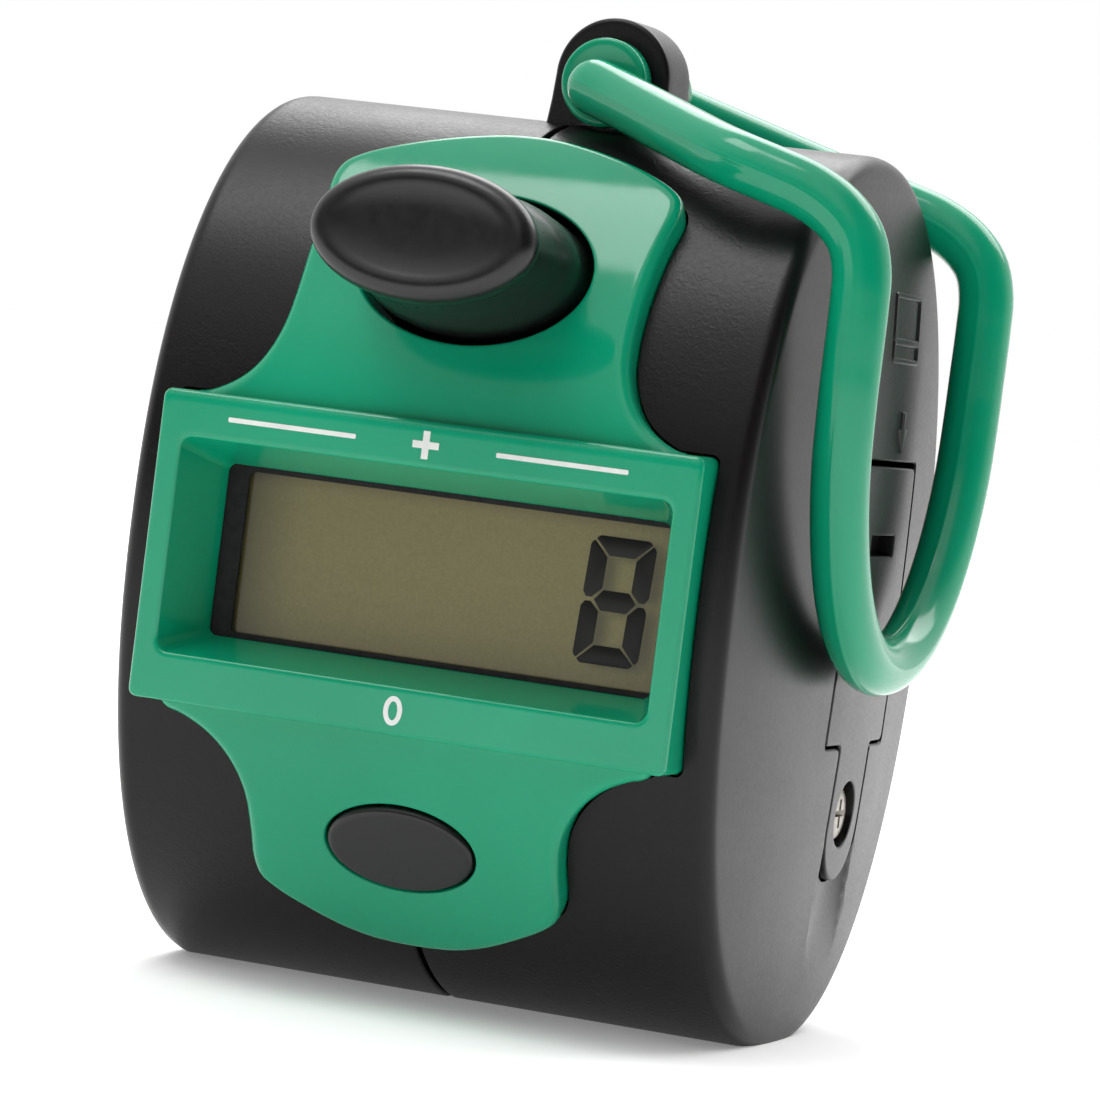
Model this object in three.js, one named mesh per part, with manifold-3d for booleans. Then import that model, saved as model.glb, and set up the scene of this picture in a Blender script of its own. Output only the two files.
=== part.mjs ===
// Electronic hand tally counter with a finger ring, millimetres, +Z up.
// X runs along the drum axis (+X is the battery end), -Y is the face with the display.
// The origin lies on the middle of the flat underside, below the drum's own centre.
// Lengths below are measured from the drum's centre, and one group lifts the whole part onto its base.
import * as THREE from "three";
import { mergeVertices } from "three/addons/utils/BufferGeometryUtils.js";
import Module from "manifold-3d";

const wasm = await Module();
wasm.setup();

// ---------------------------------------------------------------- driving dimensions
const HALF_HEIGHT = 26; // drum section, Z
const HALF_DEPTH = 19.5; // drum section, Y
const SECTION_POWER = 2.2; // superellipse exponent of the drum section
const RIM_X = 17.85; // plane of the right end cap's rim
const RIM_X_LEFT = 18.15; // plane of the left end cap's rim
const DOME = 1.3; // crown of each end cap
const RIM_ROUND = 1.0; // rounding of the rim
const WALL = 1.6; // casing wall
const SEAM_X = -0.6; // where the two casing halves meet
const SEAM_GAP = 0.3;
const BASE_Z = -25.4; // flat underside
const GAP = 0.3; // clearance between touching pieces

const PLATE_PROUD = 1.5; // faceplate lobes above the drum skin
const PLATE_BACK = -1.3; // back of the lobes, below the drum skin
const PLATE_CHAMFER = 0.55;
const ROW = 2.6; // arc length between rows of the wrapped lobes
const BEZEL = { x: 16.05, z0: -9.5, z1: 7.95, y0: -21.4, y1: -14.3 };
const RECESS = { x: 14.6, z0: -6.75, z1: 5.33 }; // mouth of the display recess
const WINDOW = { x: 13.3, z0: -5.72, z1: 4.06, y: -17.3 }; // floor of the recess
const LCD = { x: 14.3, z0: -7.2, z1: 5.4, y0: -16.6, y1: -15.6, y2: -14.6, step: -5.6 };

const COUNT = { y: -18, z: 16.8, tilt: 9, hole: [6.95, 4.6], travel: 1.6 };
const RESET = { y: -17.76, z: -16.06, tilt: -26.2, hole: [4.58, 2.75], travel: 0.8 };

const PIVOT = { x: 1.5, z: 28.4 }; // finger ring hinge, axis along Y
const LUG = { x: 1.45, r: 3.5, zArch: 28.8, y0: -2.85, y1: 1.4, bore: 1.6 };
const RING = { wire: 1.65, disc: 2.6, pin: 1.25, armY: 13.25, planeX: 21.15, endZ: 28.0 };

const BOARD = { x: 14.6, z0: -18.2, z1: 18.4, y0: -9.6, y1: -8.0 };
const POSTS = [
  [-12.5, 7.2],
  [12.5, 7.2],
  [-12.5, -8.9],
  [12.5, -8.9],
];
const SHELL_SCREWS = [
  [9.5, 17],
  [9.5, -17],
];
const CELL = { y: 4.9, z: 0.2, r: 5.8, x0: 11.4, x1: 16.8 };
const DOOR = { y0: -1.45, y1: 11.25, z0: -8.0, z1: 8.35, tongue: 3.25, tongueZ: -12.9, thick: 1.7 };
const DOOR_SCREW = { y: 4.9, z: -12.2, head: 1.65, shank: 0.85 };

// ---------------------------------------------------------------- small helpers
const lerp = (a, b, t) => a + (b - a) * t;

// A closed geometry as a solid, with its faces turned outwards.
function solid(geometry) {
  const g = geometry.clone();
  g.deleteAttribute("normal");
  g.deleteAttribute("uv");
  const m = mergeVertices(g, 1e-5);
  const tri = new Uint32Array(m.index.array);
  const make = () =>
    new wasm.Manifold(
      new wasm.Mesh({
        numProp: 3,
        vertProperties: new Float32Array(m.attributes.position.array),
        triVerts: tri,
      }),
    );
  let s = make();
  if (s.volume() < 0) {
    for (let i = 0; i < tri.length; i += 3) [tri[i + 1], tri[i + 2]] = [tri[i + 2], tri[i + 1]];
    s = make();
  }
  return s;
}

const union = (...list) => list.reduce((a, b) => a.add(b));
const cut = (a, ...list) => list.reduce((s, b) => s.subtract(b), a);

function geometryOf(s) {
  const m = s.getMesh();
  const g = new THREE.BufferGeometry();
  const p = new Float32Array(m.numVert * 3);
  for (let i = 0; i < m.numVert; i++)
    for (let k = 0; k < 3; k++) p[i * 3 + k] = m.vertProperties[i * m.numProp + k];
  g.setAttribute("position", new THREE.BufferAttribute(p, 3));
  g.setIndex(new THREE.BufferAttribute(new Uint32Array(m.triVerts), 1));
  g.computeVertexNormals();
  return g;
}

// Keeps the largest body of a solid, dropping any loose sliver a cut has left.
function largest(s) {
  const parts = s.decompose();
  return parts.reduce((a, b) => (b.volume() > a.volume() ? b : a));
}

const box = (x0, x1, y0, y1, z0, z1) =>
  solid(
    new THREE.BoxGeometry(x1 - x0, y1 - y0, z1 - z0).translate(
      (x0 + x1) / 2,
      (y0 + y1) / 2,
      (z0 + z1) / 2,
    ),
  );

// Cylinder along X between x0 and x1, round (y, z).
const rodX = (x0, x1, r, y, z, n = 16) =>
  solid(
    new THREE.CylinderGeometry(r, r, x1 - x0, n)
      .rotateZ(Math.PI / 2)
      .translate((x0 + x1) / 2, y, z),
  );
// Cylinder along Y between y0 and y1, round (x, z).
const rodY = (y0, y1, r, x, z, n = 16, r1 = r) =>
  solid(new THREE.CylinderGeometry(r1, r, y1 - y0, n).translate(x, (y0 + y1) / 2, z));

// Turned body: profile of [radius, along] pairs, its axis along +X or +Y.
function turned(profile, n, axis) {
  const g = new THREE.LatheGeometry(
    profile.map(([r, h]) => new THREE.Vector2(r, h)),
    n,
  );
  if (axis === "x") g.rotateZ(-Math.PI / 2);
  return solid(g);
}

// Hexahedron from a front rectangle at yf and a back rectangle at yb.
function frustumY(f, b, yf, yb) {
  const v = [];
  for (const [r, y] of [
    [f, yf],
    [b, yb],
  ])
    v.push([-r.x, y, r.z0], [r.x, y, r.z0], [r.x, y, r.z1], [-r.x, y, r.z1]);
  const quads = [
    [0, 1, 2, 3],
    [5, 4, 7, 6],
    [4, 5, 1, 0],
    [3, 2, 6, 7],
    [1, 5, 6, 2],
    [4, 0, 3, 7],
  ];
  const idx = quads.flatMap(([a, b2, c, d]) => [a, b2, c, a, c, d]);
  const g = new THREE.BufferGeometry();
  g.setAttribute("position", new THREE.BufferAttribute(new Float32Array(v.flat()), 3));
  g.setIndex(idx);
  return solid(g);
}

// Rings of equal point count joined into a closed skin, with a fan at either end.
function skin(rings, start, end) {
  const n = rings[0].length;
  const v = rings.flat();
  const idx = [];
  for (let r = 0; r + 1 < rings.length; r++)
    for (let i = 0; i < n; i++) {
      const a = r * n + i;
      const b = r * n + ((i + 1) % n);
      idx.push(a, b, b + n, a, b + n, a + n);
    }
  const s = v.push(start) - 1;
  const e = v.push(end) - 1;
  const last = (rings.length - 1) * n;
  for (let i = 0; i < n; i++) {
    idx.push(s, (i + 1) % n, i);
    idx.push(e, last + i, last + ((i + 1) % n));
  }
  const g = new THREE.BufferGeometry();
  g.setAttribute("position", new THREE.BufferAttribute(new Float32Array(v.flat()), 3));
  g.setIndex(idx);
  return solid(g);
}

// ---------------------------------------------------------------- drum section
// Quarter of the section from the front (-Y) up to the top, by arc length.
const QUARTER = (() => {
  const t = [];
  const N = 2000;
  let len = 0;
  let prev = null;
  for (let i = 0; i <= N; i++) {
    const a = (i / N) * (Math.PI / 2);
    const c = Math.max(Math.cos(a), 0);
    const s = Math.sin(a);
    const y = -HALF_DEPTH * c ** (2 / SECTION_POWER);
    const z = HALF_HEIGHT * s ** (2 / SECTION_POWER);
    if (prev) len += Math.hypot(y - prev[0], z - prev[1]);
    const ny = -((Math.abs(y) / HALF_DEPTH) ** (SECTION_POWER - 1)) / HALF_DEPTH;
    const nz = (z / HALF_HEIGHT) ** (SECTION_POWER - 1) / HALF_HEIGHT;
    const k = Math.hypot(ny, nz);
    t.push([len, y, z, ny / k, nz / k]);
    prev = [y, z];
  }
  return t;
})();
const QUARTER_LENGTH = QUARTER[QUARTER.length - 1][0];

function onQuarter(s) {
  let lo = 0;
  let hi = QUARTER.length - 1;
  while (hi - lo > 1) {
    const m = (lo + hi) >> 1;
    if (QUARTER[m][0] <= s) lo = m;
    else hi = m;
  }
  const a = QUARTER[lo];
  const b = QUARTER[hi];
  const t = (s - a[0]) / Math.max(b[0] - a[0], 1e-9);
  return [1, 2, 3, 4].map((k) => lerp(a[k], b[k], t));
}

// Point at arc length s from the front centre line (up is positive), h above the skin.
function wrapPoint(s, h) {
  const up = s < 0 ? -1 : 1;
  const [y, z, ny, nz] = onQuarter(Math.min(Math.abs(s), QUARTER_LENGTH));
  return [y + h * ny, up * (z + h * nz)];
}

// Arc length whose point at height h has the given z.
function arcAt(z, h) {
  let lo = 0;
  let hi = QUARTER_LENGTH;
  for (let i = 0; i < 50; i++) {
    const m = (lo + hi) / 2;
    if (wrapPoint(m, h)[1] < Math.abs(z)) lo = m;
    else hi = m;
  }
  return Math.sign(z) * lo;
}

// Whole section, evenly spaced points, moved inwards by inset.
function section(inset, n) {
  const q = n / 4;
  const quarter = [];
  for (let i = 0; i < q; i++) {
    const [y, z, ny, nz] = onQuarter((i / q) * QUARTER_LENGTH);
    quarter.push([y - inset * ny, z - inset * nz]);
  }
  const top = [0, HALF_HEIGHT - inset];
  const front = quarter;
  const out = [...front, top];
  for (let i = q - 1; i > 0; i--) out.push([-front[i][0], front[i][1]]);
  out.push([-front[0][0], 0]);
  for (let i = 1; i < q; i++) out.push([-front[i][0], -front[i][1]]);
  out.push([0, -top[1]]);
  for (let i = q - 1; i > 0; i--) out.push([front[i][0], -front[i][1]]);
  return out;
}

// One half of the drum as a filled body, from x = from to the domed cap on the given side.
function drumHalf(side, from, inset, shift = 0, n = inset || shift ? 36 : 56) {
  const base = section(inset, n);
  const ring = (x, q) => base.map(([y, z]) => [side * (x - shift), y * q, z * q]);
  const rimX = (side < 0 ? RIM_X_LEFT : RIM_X) - inset;
  const crown = (q) => rimX + DOME * (1 - q * q);
  const rings = [base.map(([y, z]) => [from, y, z])];
  if (inset) {
    rings.push(ring(rimX - 0.4, 1), ring(crown(0.93), 0.93), ring(crown(0.6), 0.6));
  } else {
    rings.push(ring(rimX - RIM_ROUND, 1), ring(rimX - 0.3 * RIM_ROUND, 0.988));
    for (const q of [0.955, 0.75, 0.42]) rings.push(ring(crown(q) - (q > 0.9 ? 0.02 : 0), q));
  }
  return skin(rings, [from, 0, 0], [side * (crown(0) - shift), 0, 0]);
}

// ---------------------------------------------------------------- faceplate outline
// Right-hand side of each lobe, [x, z] on the lobes' outer skin, from the bezel outwards.
const UPPER_SIDE = [
  [15.4, 6.4],
  [15.4, 7.95],
  [13.9, 8.2],
  [12.6, 8.85],
  [11.6, 9.7],
  [10.85, 10.9],
  [10.35, 12.4],
  [10.15, 14.2],
  [10.15, 17.0],
  [10.35, 19.9],
  [10.5, 21.3],
  [10.25, 22.1],
  [9.45, 22.7],
  [7.65, 23.45],
  [5.6, 24.05],
  [3.2, 24.55],
  [1.2, 24.8],
];
const LOWER_SIDE = [
  [14.9, -7.9],
  [14.9, -10.0],
  [13.6, -10.3],
  [12.2, -10.95],
  [11.0, -11.9],
  [10.1, -13.1],
  [9.55, -14.5],
  [9.35, -16.2],
  [9.3, -18.2],
  [9.0, -19.1],
  [8.2, -19.75],
  [6.4, -20.65],
  [4.2, -21.5],
  [2.0, -21.95],
];

function lobeOutline(side, offset) {
  const pts = side.map(([x, z]) => [x, arcAt(z, PLATE_PROUD)]);
  const loop = [...pts, ...pts.map(([x, s]) => [-x, s]).reverse()];
  if (!offset) return loop;
  const n = loop.length;
  let area = 0;
  loop.forEach(([x, s], i) => {
    const [x2, s2] = loop[(i + 1) % n];
    area += x * s2 - x2 * s;
  });
  const turn = area > 0 ? 1 : -1;
  return loop.map(([x, s], i) => {
    const [xa, sa] = loop[(i + n - 1) % n];
    const [xb, sb] = loop[(i + 1) % n];
    const e1 = new THREE.Vector2(x - xa, s - sa).normalize();
    const e2 = new THREE.Vector2(xb - x, sb - s).normalize();
    const m = new THREE.Vector2(e1.y + e2.y, -(e1.x + e2.x)).multiplyScalar(turn).normalize();
    const k = offset / Math.max(0.5, m.dot(new THREE.Vector2(e1.y, -e1.x).multiplyScalar(turn)));
    return [x + m.x * k, s + m.y * k];
  });
}

// Splits every triangle of a closed skin on planes of constant second coordinate.
function sliceRows(geometry, rows) {
  const g = geometry.index ? geometry.toNonIndexed() : geometry;
  const p = g.attributes.position;
  let polys = [];
  for (let i = 0; i < p.count; i += 3)
    polys.push([0, 1, 2].map((k) => [p.getX(i + k), p.getY(i + k), p.getZ(i + k)]));
  for (const s of rows) {
    const next = [];
    for (const poly of polys) {
      const lo = [];
      const hi = [];
      for (let i = 0; i < poly.length; i++) {
        const a = poly[i];
        const b = poly[(i + 1) % poly.length];
        const da = a[1] - s;
        const db = b[1] - s;
        if (da <= 1e-7) lo.push(a);
        if (da >= -1e-7) hi.push(a);
        if ((da < -1e-7 && db > 1e-7) || (da > 1e-7 && db < -1e-7)) {
          const [u, w] = da < db ? [a, b] : [b, a];
          const t = (s - u[1]) / (w[1] - u[1]);
          const c = [lerp(u[0], w[0], t), s, lerp(u[2], w[2], t)];
          lo.push(c);
          hi.push(c);
        }
      }
      const flat = (q) => q.every((a) => Math.abs(a[1] - s) < 1e-7);
      if (lo.length > 2 && !flat(lo)) next.push(lo);
      if (hi.length > 2 && !(flat(hi) && !flat(poly))) next.push(hi);
      if (flat(poly) && !next.includes(hi) && !next.includes(lo)) next.push(poly);
    }
    polys = next;
  }
  const v = [];
  for (const q of polys) for (let i = 1; i + 1 < q.length; i++) v.push(...q[0], ...q[i], ...q[i + 1]);
  const out = new THREE.BufferGeometry();
  out.setAttribute("position", new THREE.BufferAttribute(new Float32Array(v), 3));
  return out;
}

// A flat lobe, x by arc length, given thickness and laid on the drum's skin.
function wrappedLobe(side, offset, h0, h1, chamfer) {
  const loop = lobeOutline(side, offset);
  const shape = new THREE.Shape(
    lobeOutline(side, offset - chamfer).map(([x, s]) => new THREE.Vector2(x, s)),
  );
  const flat = new THREE.ExtrudeGeometry(shape, {
    depth: h1 - h0 - chamfer,
    bevelEnabled: chamfer > 0,
    bevelThickness: chamfer,
    bevelSize: chamfer,
    bevelSegments: 1,
    steps: 1,
    curveSegments: 1,
  }).translate(0, 0, h0);
  const ss = loop.map((q) => q[1]);
  const lo = Math.min(...ss);
  const hi = Math.max(...ss);
  const rows = [];
  for (let s = Math.ceil((lo + 0.8) / ROW) * ROW; s < hi - 0.4; s += ROW) rows.push(s + 0.0137);
  const cutUp = sliceRows(flat, rows);
  const p = cutUp.attributes.position;
  for (let i = 0; i < p.count; i++) {
    const [y, z] = wrapPoint(p.getY(i), p.getZ(i));
    p.setXYZ(i, p.getX(i), y, z);
  }
  return solid(cutUp);
}

// ---------------------------------------------------------------- materials
const material = (name, color, roughness, metalness = 0) => {
  const m = new THREE.MeshStandardMaterial({ color, roughness, metalness });
  m.name = name;
  return m;
};
const part = new THREE.Group();
const raised = new THREE.Group();
raised.position.z = -BASE_Z;
part.add(raised);

function place(name, s, mat, group = raised) {
  const mesh = new THREE.Mesh(geometryOf(s), mat);
  mesh.name = name;
  group.add(mesh);
  return mesh;
}

const black = () => material("casing", 0x141314, 0.5);
const green = () => material("face", 0x12a77a, 0.3);
const steel = () => material("steel", 0xb9bcc0, 0.3, 1);

// ---------------------------------------------------------------- faceplate
const plateLobes = union(
  wrappedLobe(UPPER_SIDE, 0, PLATE_BACK, PLATE_PROUD, PLATE_CHAMFER),
  wrappedLobe(LOWER_SIDE, 0, PLATE_BACK, PLATE_PROUD, PLATE_CHAMFER),
);
// Elliptical prism in a frame tilted about X, its axis pointing out of the face.
function ellipsePrism(at, sizes, n = 26) {
  const rings = sizes.map(([w, a, b]) =>
    Array.from({ length: n }, (_, i) => {
      const t = (i / n) * Math.PI * 2;
      return [a * Math.cos(t), -w, b * Math.sin(t)];
    }),
  );
  const tilt = new THREE.Matrix4().makeRotationX(THREE.MathUtils.degToRad(-at.tilt));
  const move = new THREE.Matrix4().makeTranslation(0, at.y, at.z);
  const m = move.multiply(tilt);
  const go = ([x, y, z]) => new THREE.Vector3(x, y, z).applyMatrix4(m).toArray();
  return skin(
    rings.map((r) => r.map(go)),
    go([0, -sizes[0][0], 0]),
    go([0, -sizes[sizes.length - 1][0], 0]),
  );
}
// Box in the same tilted frame: half width, w range, v range.
function tiltedBox(at, hx, w0, w1, v0, v1) {
  const g = new THREE.BoxGeometry(2 * hx, w1 - w0, v1 - v0)
    .translate(0, -(w0 + w1) / 2, (v0 + v1) / 2)
    .rotateX(THREE.MathUtils.degToRad(-at.tilt))
    .translate(0, at.y, at.z);
  return solid(g);
}

let faceplate = union(
  plateLobes,
  box(-BEZEL.x, BEZEL.x, BEZEL.y0, BEZEL.y1, BEZEL.z0, BEZEL.z1),
  ...POSTS.map(([x, z]) => rodY(-15.5, BOARD.y0 - GAP, 1.75, x, z, 14)),
);
faceplate = cut(
  faceplate,
  frustumY(
    { x: RECESS.x + 0.03, z0: RECESS.z0 - 0.03, z1: RECESS.z1 + 0.03 },
    WINDOW,
    BEZEL.y0 - 0.1,
    WINDOW.y,
  ),
  box(-WINDOW.x, WINDOW.x, WINDOW.y - 0.05, -14, WINDOW.z0, WINDOW.z1),
  box(-LCD.x - GAP, LCD.x + GAP, WINDOW.y + 0.15, -14, LCD.z0 - GAP, LCD.z1 + GAP),
  ellipsePrism(COUNT, [
    [-9, ...COUNT.hole],
    [9, ...COUNT.hole],
  ]),
  ellipsePrism(RESET, [
    [-9, ...RESET.hole],
    [5, ...RESET.hole],
  ]),
  ...POSTS.map(([x, z]) => rodY(-13.6, -9, 0.95, x, z, 10)),
);
place("faceplate", largest(faceplate), green());

// ---------------------------------------------------------------- casing halves
const faceOpening = union(
  wrappedLobe(UPPER_SIDE, GAP, -3.2, 4, 0),
  wrappedLobe(LOWER_SIDE, GAP, -3.2, 4, 0),
  box(-BEZEL.x - GAP, BEZEL.x + GAP, -26, -12, BEZEL.z0 - GAP, BEZEL.z1 + GAP),
);
const underside = box(-30, 30, -30, 30, -40, BASE_Z);

const leftEdge = SEAM_X - SEAM_GAP / 2;
const rightEdge = SEAM_X + SEAM_GAP / 2;

// Arched lug that carries the ring: it grows from the left half and leans over the seam.
const lugShape = new THREE.Shape();
lugShape.moveTo(LUG.x - LUG.r - 0.35, 22);
lugShape.lineTo(LUG.x + LUG.r + 0.35, 22);
lugShape.lineTo(LUG.x + LUG.r, LUG.zArch);
lugShape.absarc(LUG.x, LUG.zArch, LUG.r, 0, Math.PI, false);
lugShape.lineTo(LUG.x - LUG.r - 0.35, 22);
const lugBlock = solid(
  new THREE.ExtrudeGeometry(lugShape, {
    depth: LUG.y1 - LUG.y0,
    bevelEnabled: false,
    curveSegments: 9,
  })
    .rotateX(Math.PI / 2)
    .translate(0, LUG.y1, 0),
);

const leftOuter = drumHalf(-1, leftEdge, 0);
const rightOuter = drumHalf(1, rightEdge, 0);
// The lug rides over the right half with a working gap under it.
const overRight = solid(
  new THREE.BufferGeometry().copy(
    (() => {
      const base = section(-GAP, 56);
      const n = base.length;
      const v = [];
      const idx = [];
      for (const x of [leftEdge, 12]) for (const [y, z] of base) v.push(x, y, z);
      for (let i = 0; i < n; i++) {
        const j = (i + 1) % n;
        idx.push(i, j, j + n, i, j + n, i + n);
      }
      v.push(leftEdge, 0, 0, 12, 0, 0);
      for (let i = 0; i < n; i++) {
        const j = (i + 1) % n;
        idx.push(2 * n, j, i, 2 * n + 1, i + n, j + n);
      }
      const g = new THREE.BufferGeometry();
      g.setAttribute("position", new THREE.BufferAttribute(new Float32Array(v), 3));
      g.setIndex(idx);
      return g;
    })(),
  ),
);

const leftCavity = drumHalf(-1, leftEdge + 1, WALL);
let leftShell = cut(leftOuter, leftCavity);
leftShell = union(
  leftShell,
  cut(lugBlock, leftCavity, overRight, box(-10, 10, -6, 6, 20, 24.4)),
  ...SHELL_SCREWS.map(([y, z]) => rodX(-RIM_X_LEFT - 0.1, leftEdge, 2.9, y, z, 18).intersect(leftOuter)),
);
leftShell = cut(
  leftShell,
  faceOpening,
  underside,
  rodY(-4, 4, LUG.bore, PIVOT.x, PIVOT.z, 20),
  ...SHELL_SCREWS.flatMap(([y, z]) => [
    rodX(-22, -6.7, 2.15, y, z, 16),
    rodX(-8, 2, 1.1, y, z, 12),
  ]),
);
// Pockets under the ring's two round flanges, either side of the lug.
const flangePockets = union(
  rodY(-4.75, LUG.y0, RING.disc + GAP, PIVOT.x, PIVOT.z, 24),
  rodY(LUG.y1, 4.75, RING.disc + GAP, PIVOT.x, PIVOT.z, 24),
);
leftShell = cut(leftShell, flangePockets);
place("left_shell", largest(leftShell), black());

// Keyhole outline of the battery door, in Y and Z, grown by o.
function doorOutline(o) {
  const { y0, y1, z0, z1, tongue, tongueZ } = DOOR;
  const yc = DOOR_SCREW.y;
  const s = new THREE.Shape();
  s.moveTo(y0 - o, z0 - o);
  s.lineTo(yc - tongue - o, z0 - o);
  s.lineTo(yc - tongue - o, tongueZ);
  s.absarc(yc, tongueZ, tongue + o, Math.PI, 2 * Math.PI, false);
  s.lineTo(yc + tongue + o, z0 - o);
  s.lineTo(y1 + o, z0 - o);
  s.lineTo(y1 + o, z1 + o);
  s.lineTo(y0 - o, z1 + o);
  s.lineTo(y0 - o, z0 - o);
  return s;
}
const doorPrism = (o, x0, x1) =>
  solid(
    new THREE.ExtrudeGeometry(doorOutline(o), {
      depth: x1 - x0,
      bevelEnabled: false,
      curveSegments: 7,
    })
      .rotateX(Math.PI / 2)
      .rotateZ(Math.PI / 2)
      .translate(x0, 0, 0),
  );

const bay = { y0: -1.25, y1: 11.05, z0: -5.95, z1: 7.2, x0: 9.3, floor: 10.5, wall: 1.2 };
const rightCavity = drumHalf(1, rightEdge - 1, WALL);
const underDoor = drumHalf(1, rightEdge - 1, 0, DOOR.thick + GAP);
let rightShell = cut(rightOuter, rightCavity);
rightShell = union(
  rightShell,
  box(bay.x0, 20, bay.y0 - bay.wall, bay.y1 + bay.wall, bay.z0 - bay.wall, bay.z1 + bay.wall).intersect(
    rightOuter,
  ),
  rodX(10, 20, 2.9, DOOR_SCREW.y, DOOR_SCREW.z, 18).intersect(rightOuter),
  box(10, 20, DOOR_SCREW.y - 1, DOOR_SCREW.y + 1, -12, bay.z0 - 0.6).intersect(rightOuter),
  box(14, 20, -1.9, 11.7, -17.5, -6.4).intersect(rightOuter).subtract(box(0, 16.2, -30, 30, -30, 30)),
  ...SHELL_SCREWS.map(([y, z]) => rodX(rightEdge, RIM_X, 2.9, y, z, 18).intersect(rightOuter)),
);
rightShell = cut(
  rightShell,
  faceOpening,
  flangePockets,
  underside,
  doorPrism(GAP, 10, 26).subtract(underDoor),
  box(bay.floor, 26, bay.y0, bay.y1, bay.z0, bay.z1),
  rodX(8, 20, 0.95, DOOR_SCREW.y, DOOR_SCREW.z, 12),
  box(8, 12, 3.0, 6.8, 6.1, 7.0),
  box(8, 12, 3.4, 6.4, -4.4, -3.2),
  ...SHELL_SCREWS.map(([y, z]) => rodX(-2, 8, 1.1, y, z, 12)),
);
place("right_shell", largest(rightShell), black());

// ---------------------------------------------------------------- battery door and its screw
let door = doorPrism(0, 10, 26).intersect(rightOuter).subtract(drumHalf(1, rightEdge - 1, 0, DOOR.thick));
door = cut(
  door,
  rodX(17.55, 26, DOOR_SCREW.head + 0.3, DOOR_SCREW.y, DOOR_SCREW.z, 20),
  rodX(10, 26, DOOR_SCREW.shank + 0.3, DOOR_SCREW.y, DOOR_SCREW.z, 12),
  box(18.2, 26, CELL.y - 2.65, CELL.y + 2.65, 3.1, 4.3),
);
place("battery_door", largest(door), black());

// A self-tapping screw: turned body with a cross recess, its tip towards +X or +Y.
function screw(head, headH, shank, length, axis, n = 10) {
  let s = turned(
    [
      [0, 0],
      [head * 0.72, 0],
      [head, headH * 0.45],
      [head, headH],
      [shank, headH],
      [shank, length * 0.86],
      [0, length],
    ],
    n,
    axis,
  );
  const w = head * 0.16;
  const l = head * 0.62;
  const d = headH * 0.6;
  for (const [a, b] of [
    [w, l],
    [l, w],
  ])
    s = s.subtract(
      axis === "x" ? box(-1, d, -a, a, -b, b) : box(-a, a, -1, d, -b, b),
    );
  return s;
}
const placeScrew = (name, s, x, y, z, flip, axis) => {
  const g = new THREE.Group();
  g.position.set(x, y, z);
  if (flip && axis === "x") g.rotation.z = Math.PI;
  if (flip && axis === "y") g.rotation.x = Math.PI;
  raised.add(g);
  return place(name, s, steel(), g);
};
placeScrew(
  "battery_door_screw",
  screw(DOOR_SCREW.head, 0.8, 0.7, 7.2, "x"),
  18.5,
  DOOR_SCREW.y,
  DOOR_SCREW.z,
  true,
  "x",
);
SHELL_SCREWS.forEach(([y, z], i) =>
  placeScrew(
    i ? "shell_screw_lower" : "shell_screw_upper",
    screw(1.8, 1.3, 0.8, 13, "x"),
    -8.3,
    y,
    z,
    false,
    "x",
  ),
);
POSTS.forEach(([x, z], i) =>
  placeScrew(
    "board_screw_" + ["upper_left", "upper_right", "lower_left", "lower_right"][i],
    screw(1.5, 0.9, 0.65, 5.6, "y", 12),
    x,
    BOARD.y1 + GAP + 0.9,
    z,
    true,
    "y",
  ),
);

// ---------------------------------------------------------------- finger ring
const armPoints = [
  [PIVOT.x, 5.45, RING.endZ],
  [3.6, 6.7, 27.35],
  [6.4, 8.7, 26.45],
  [9.2, 10.7, 25.55],
  [11.6, 12.3, 24.8],
  [13.4, RING.armY - 0.1, 24.3],
  [15.4, RING.armY, 23.75],
  [17.5, RING.armY, 23.1],
  [19.3, RING.armY, 22.1],
  [20.5, RING.armY, 20.8],
  [21.05, RING.armY - 0.02, 19.1],
  [RING.planeX, RING.armY - 0.05, 17],
  [RING.planeX, RING.armY - 0.1, 14],
];
const loopZ = 12;
const loopDrop = 15.1;
const loopHalf = RING.armY - 0.15;
const loopPoints = [];
for (let a = 0; a <= 180; a += 15) {
  const t = THREE.MathUtils.degToRad(a);
  loopPoints.push([RING.planeX, -loopHalf * Math.cos(t), loopZ - loopDrop * Math.sin(t)]);
}
const ringPath = new THREE.CatmullRomCurve3(
  [
    ...armPoints.map(([x, y, z]) => new THREE.Vector3(x, -y, z)),
    ...loopPoints.map((p) => new THREE.Vector3(...p)),
    ...[...armPoints].reverse().map(([x, y, z]) => new THREE.Vector3(x, y, z)),
  ],
  false,
  "centripetal",
);
const wireShape = new THREE.Shape(
  Array.from({ length: 9 }, (_, i) => {
    const a = (i / 9) * Math.PI * 2;
    return new THREE.Vector2(RING.wire * Math.cos(a), RING.wire * Math.sin(a));
  }),
);
const wire = solid(
  new THREE.ExtrudeGeometry(wireShape, { steps: 64, extrudePath: ringPath, bevelEnabled: false }),
);
const ringEnd = (sign) =>
  union(
    solid(
      new THREE.SphereGeometry(RING.wire + 0.02, 10, 6).translate(PIVOT.x, sign * 5.45, RING.endZ),
    ),
    rodY(sign < 0 ? -4.4 : LUG.y1 + GAP, sign < 0 ? LUG.y0 - GAP : 4.4, RING.disc, PIVOT.x, PIVOT.z, 20),
    rodY(sign < 0 ? -4 : -0.4, sign < 0 ? -1 : 4, RING.pin, PIVOT.x, PIVOT.z, 12),
  );
place("finger_ring", largest(union(wire, ringEnd(-1), ringEnd(1))), green());

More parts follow.
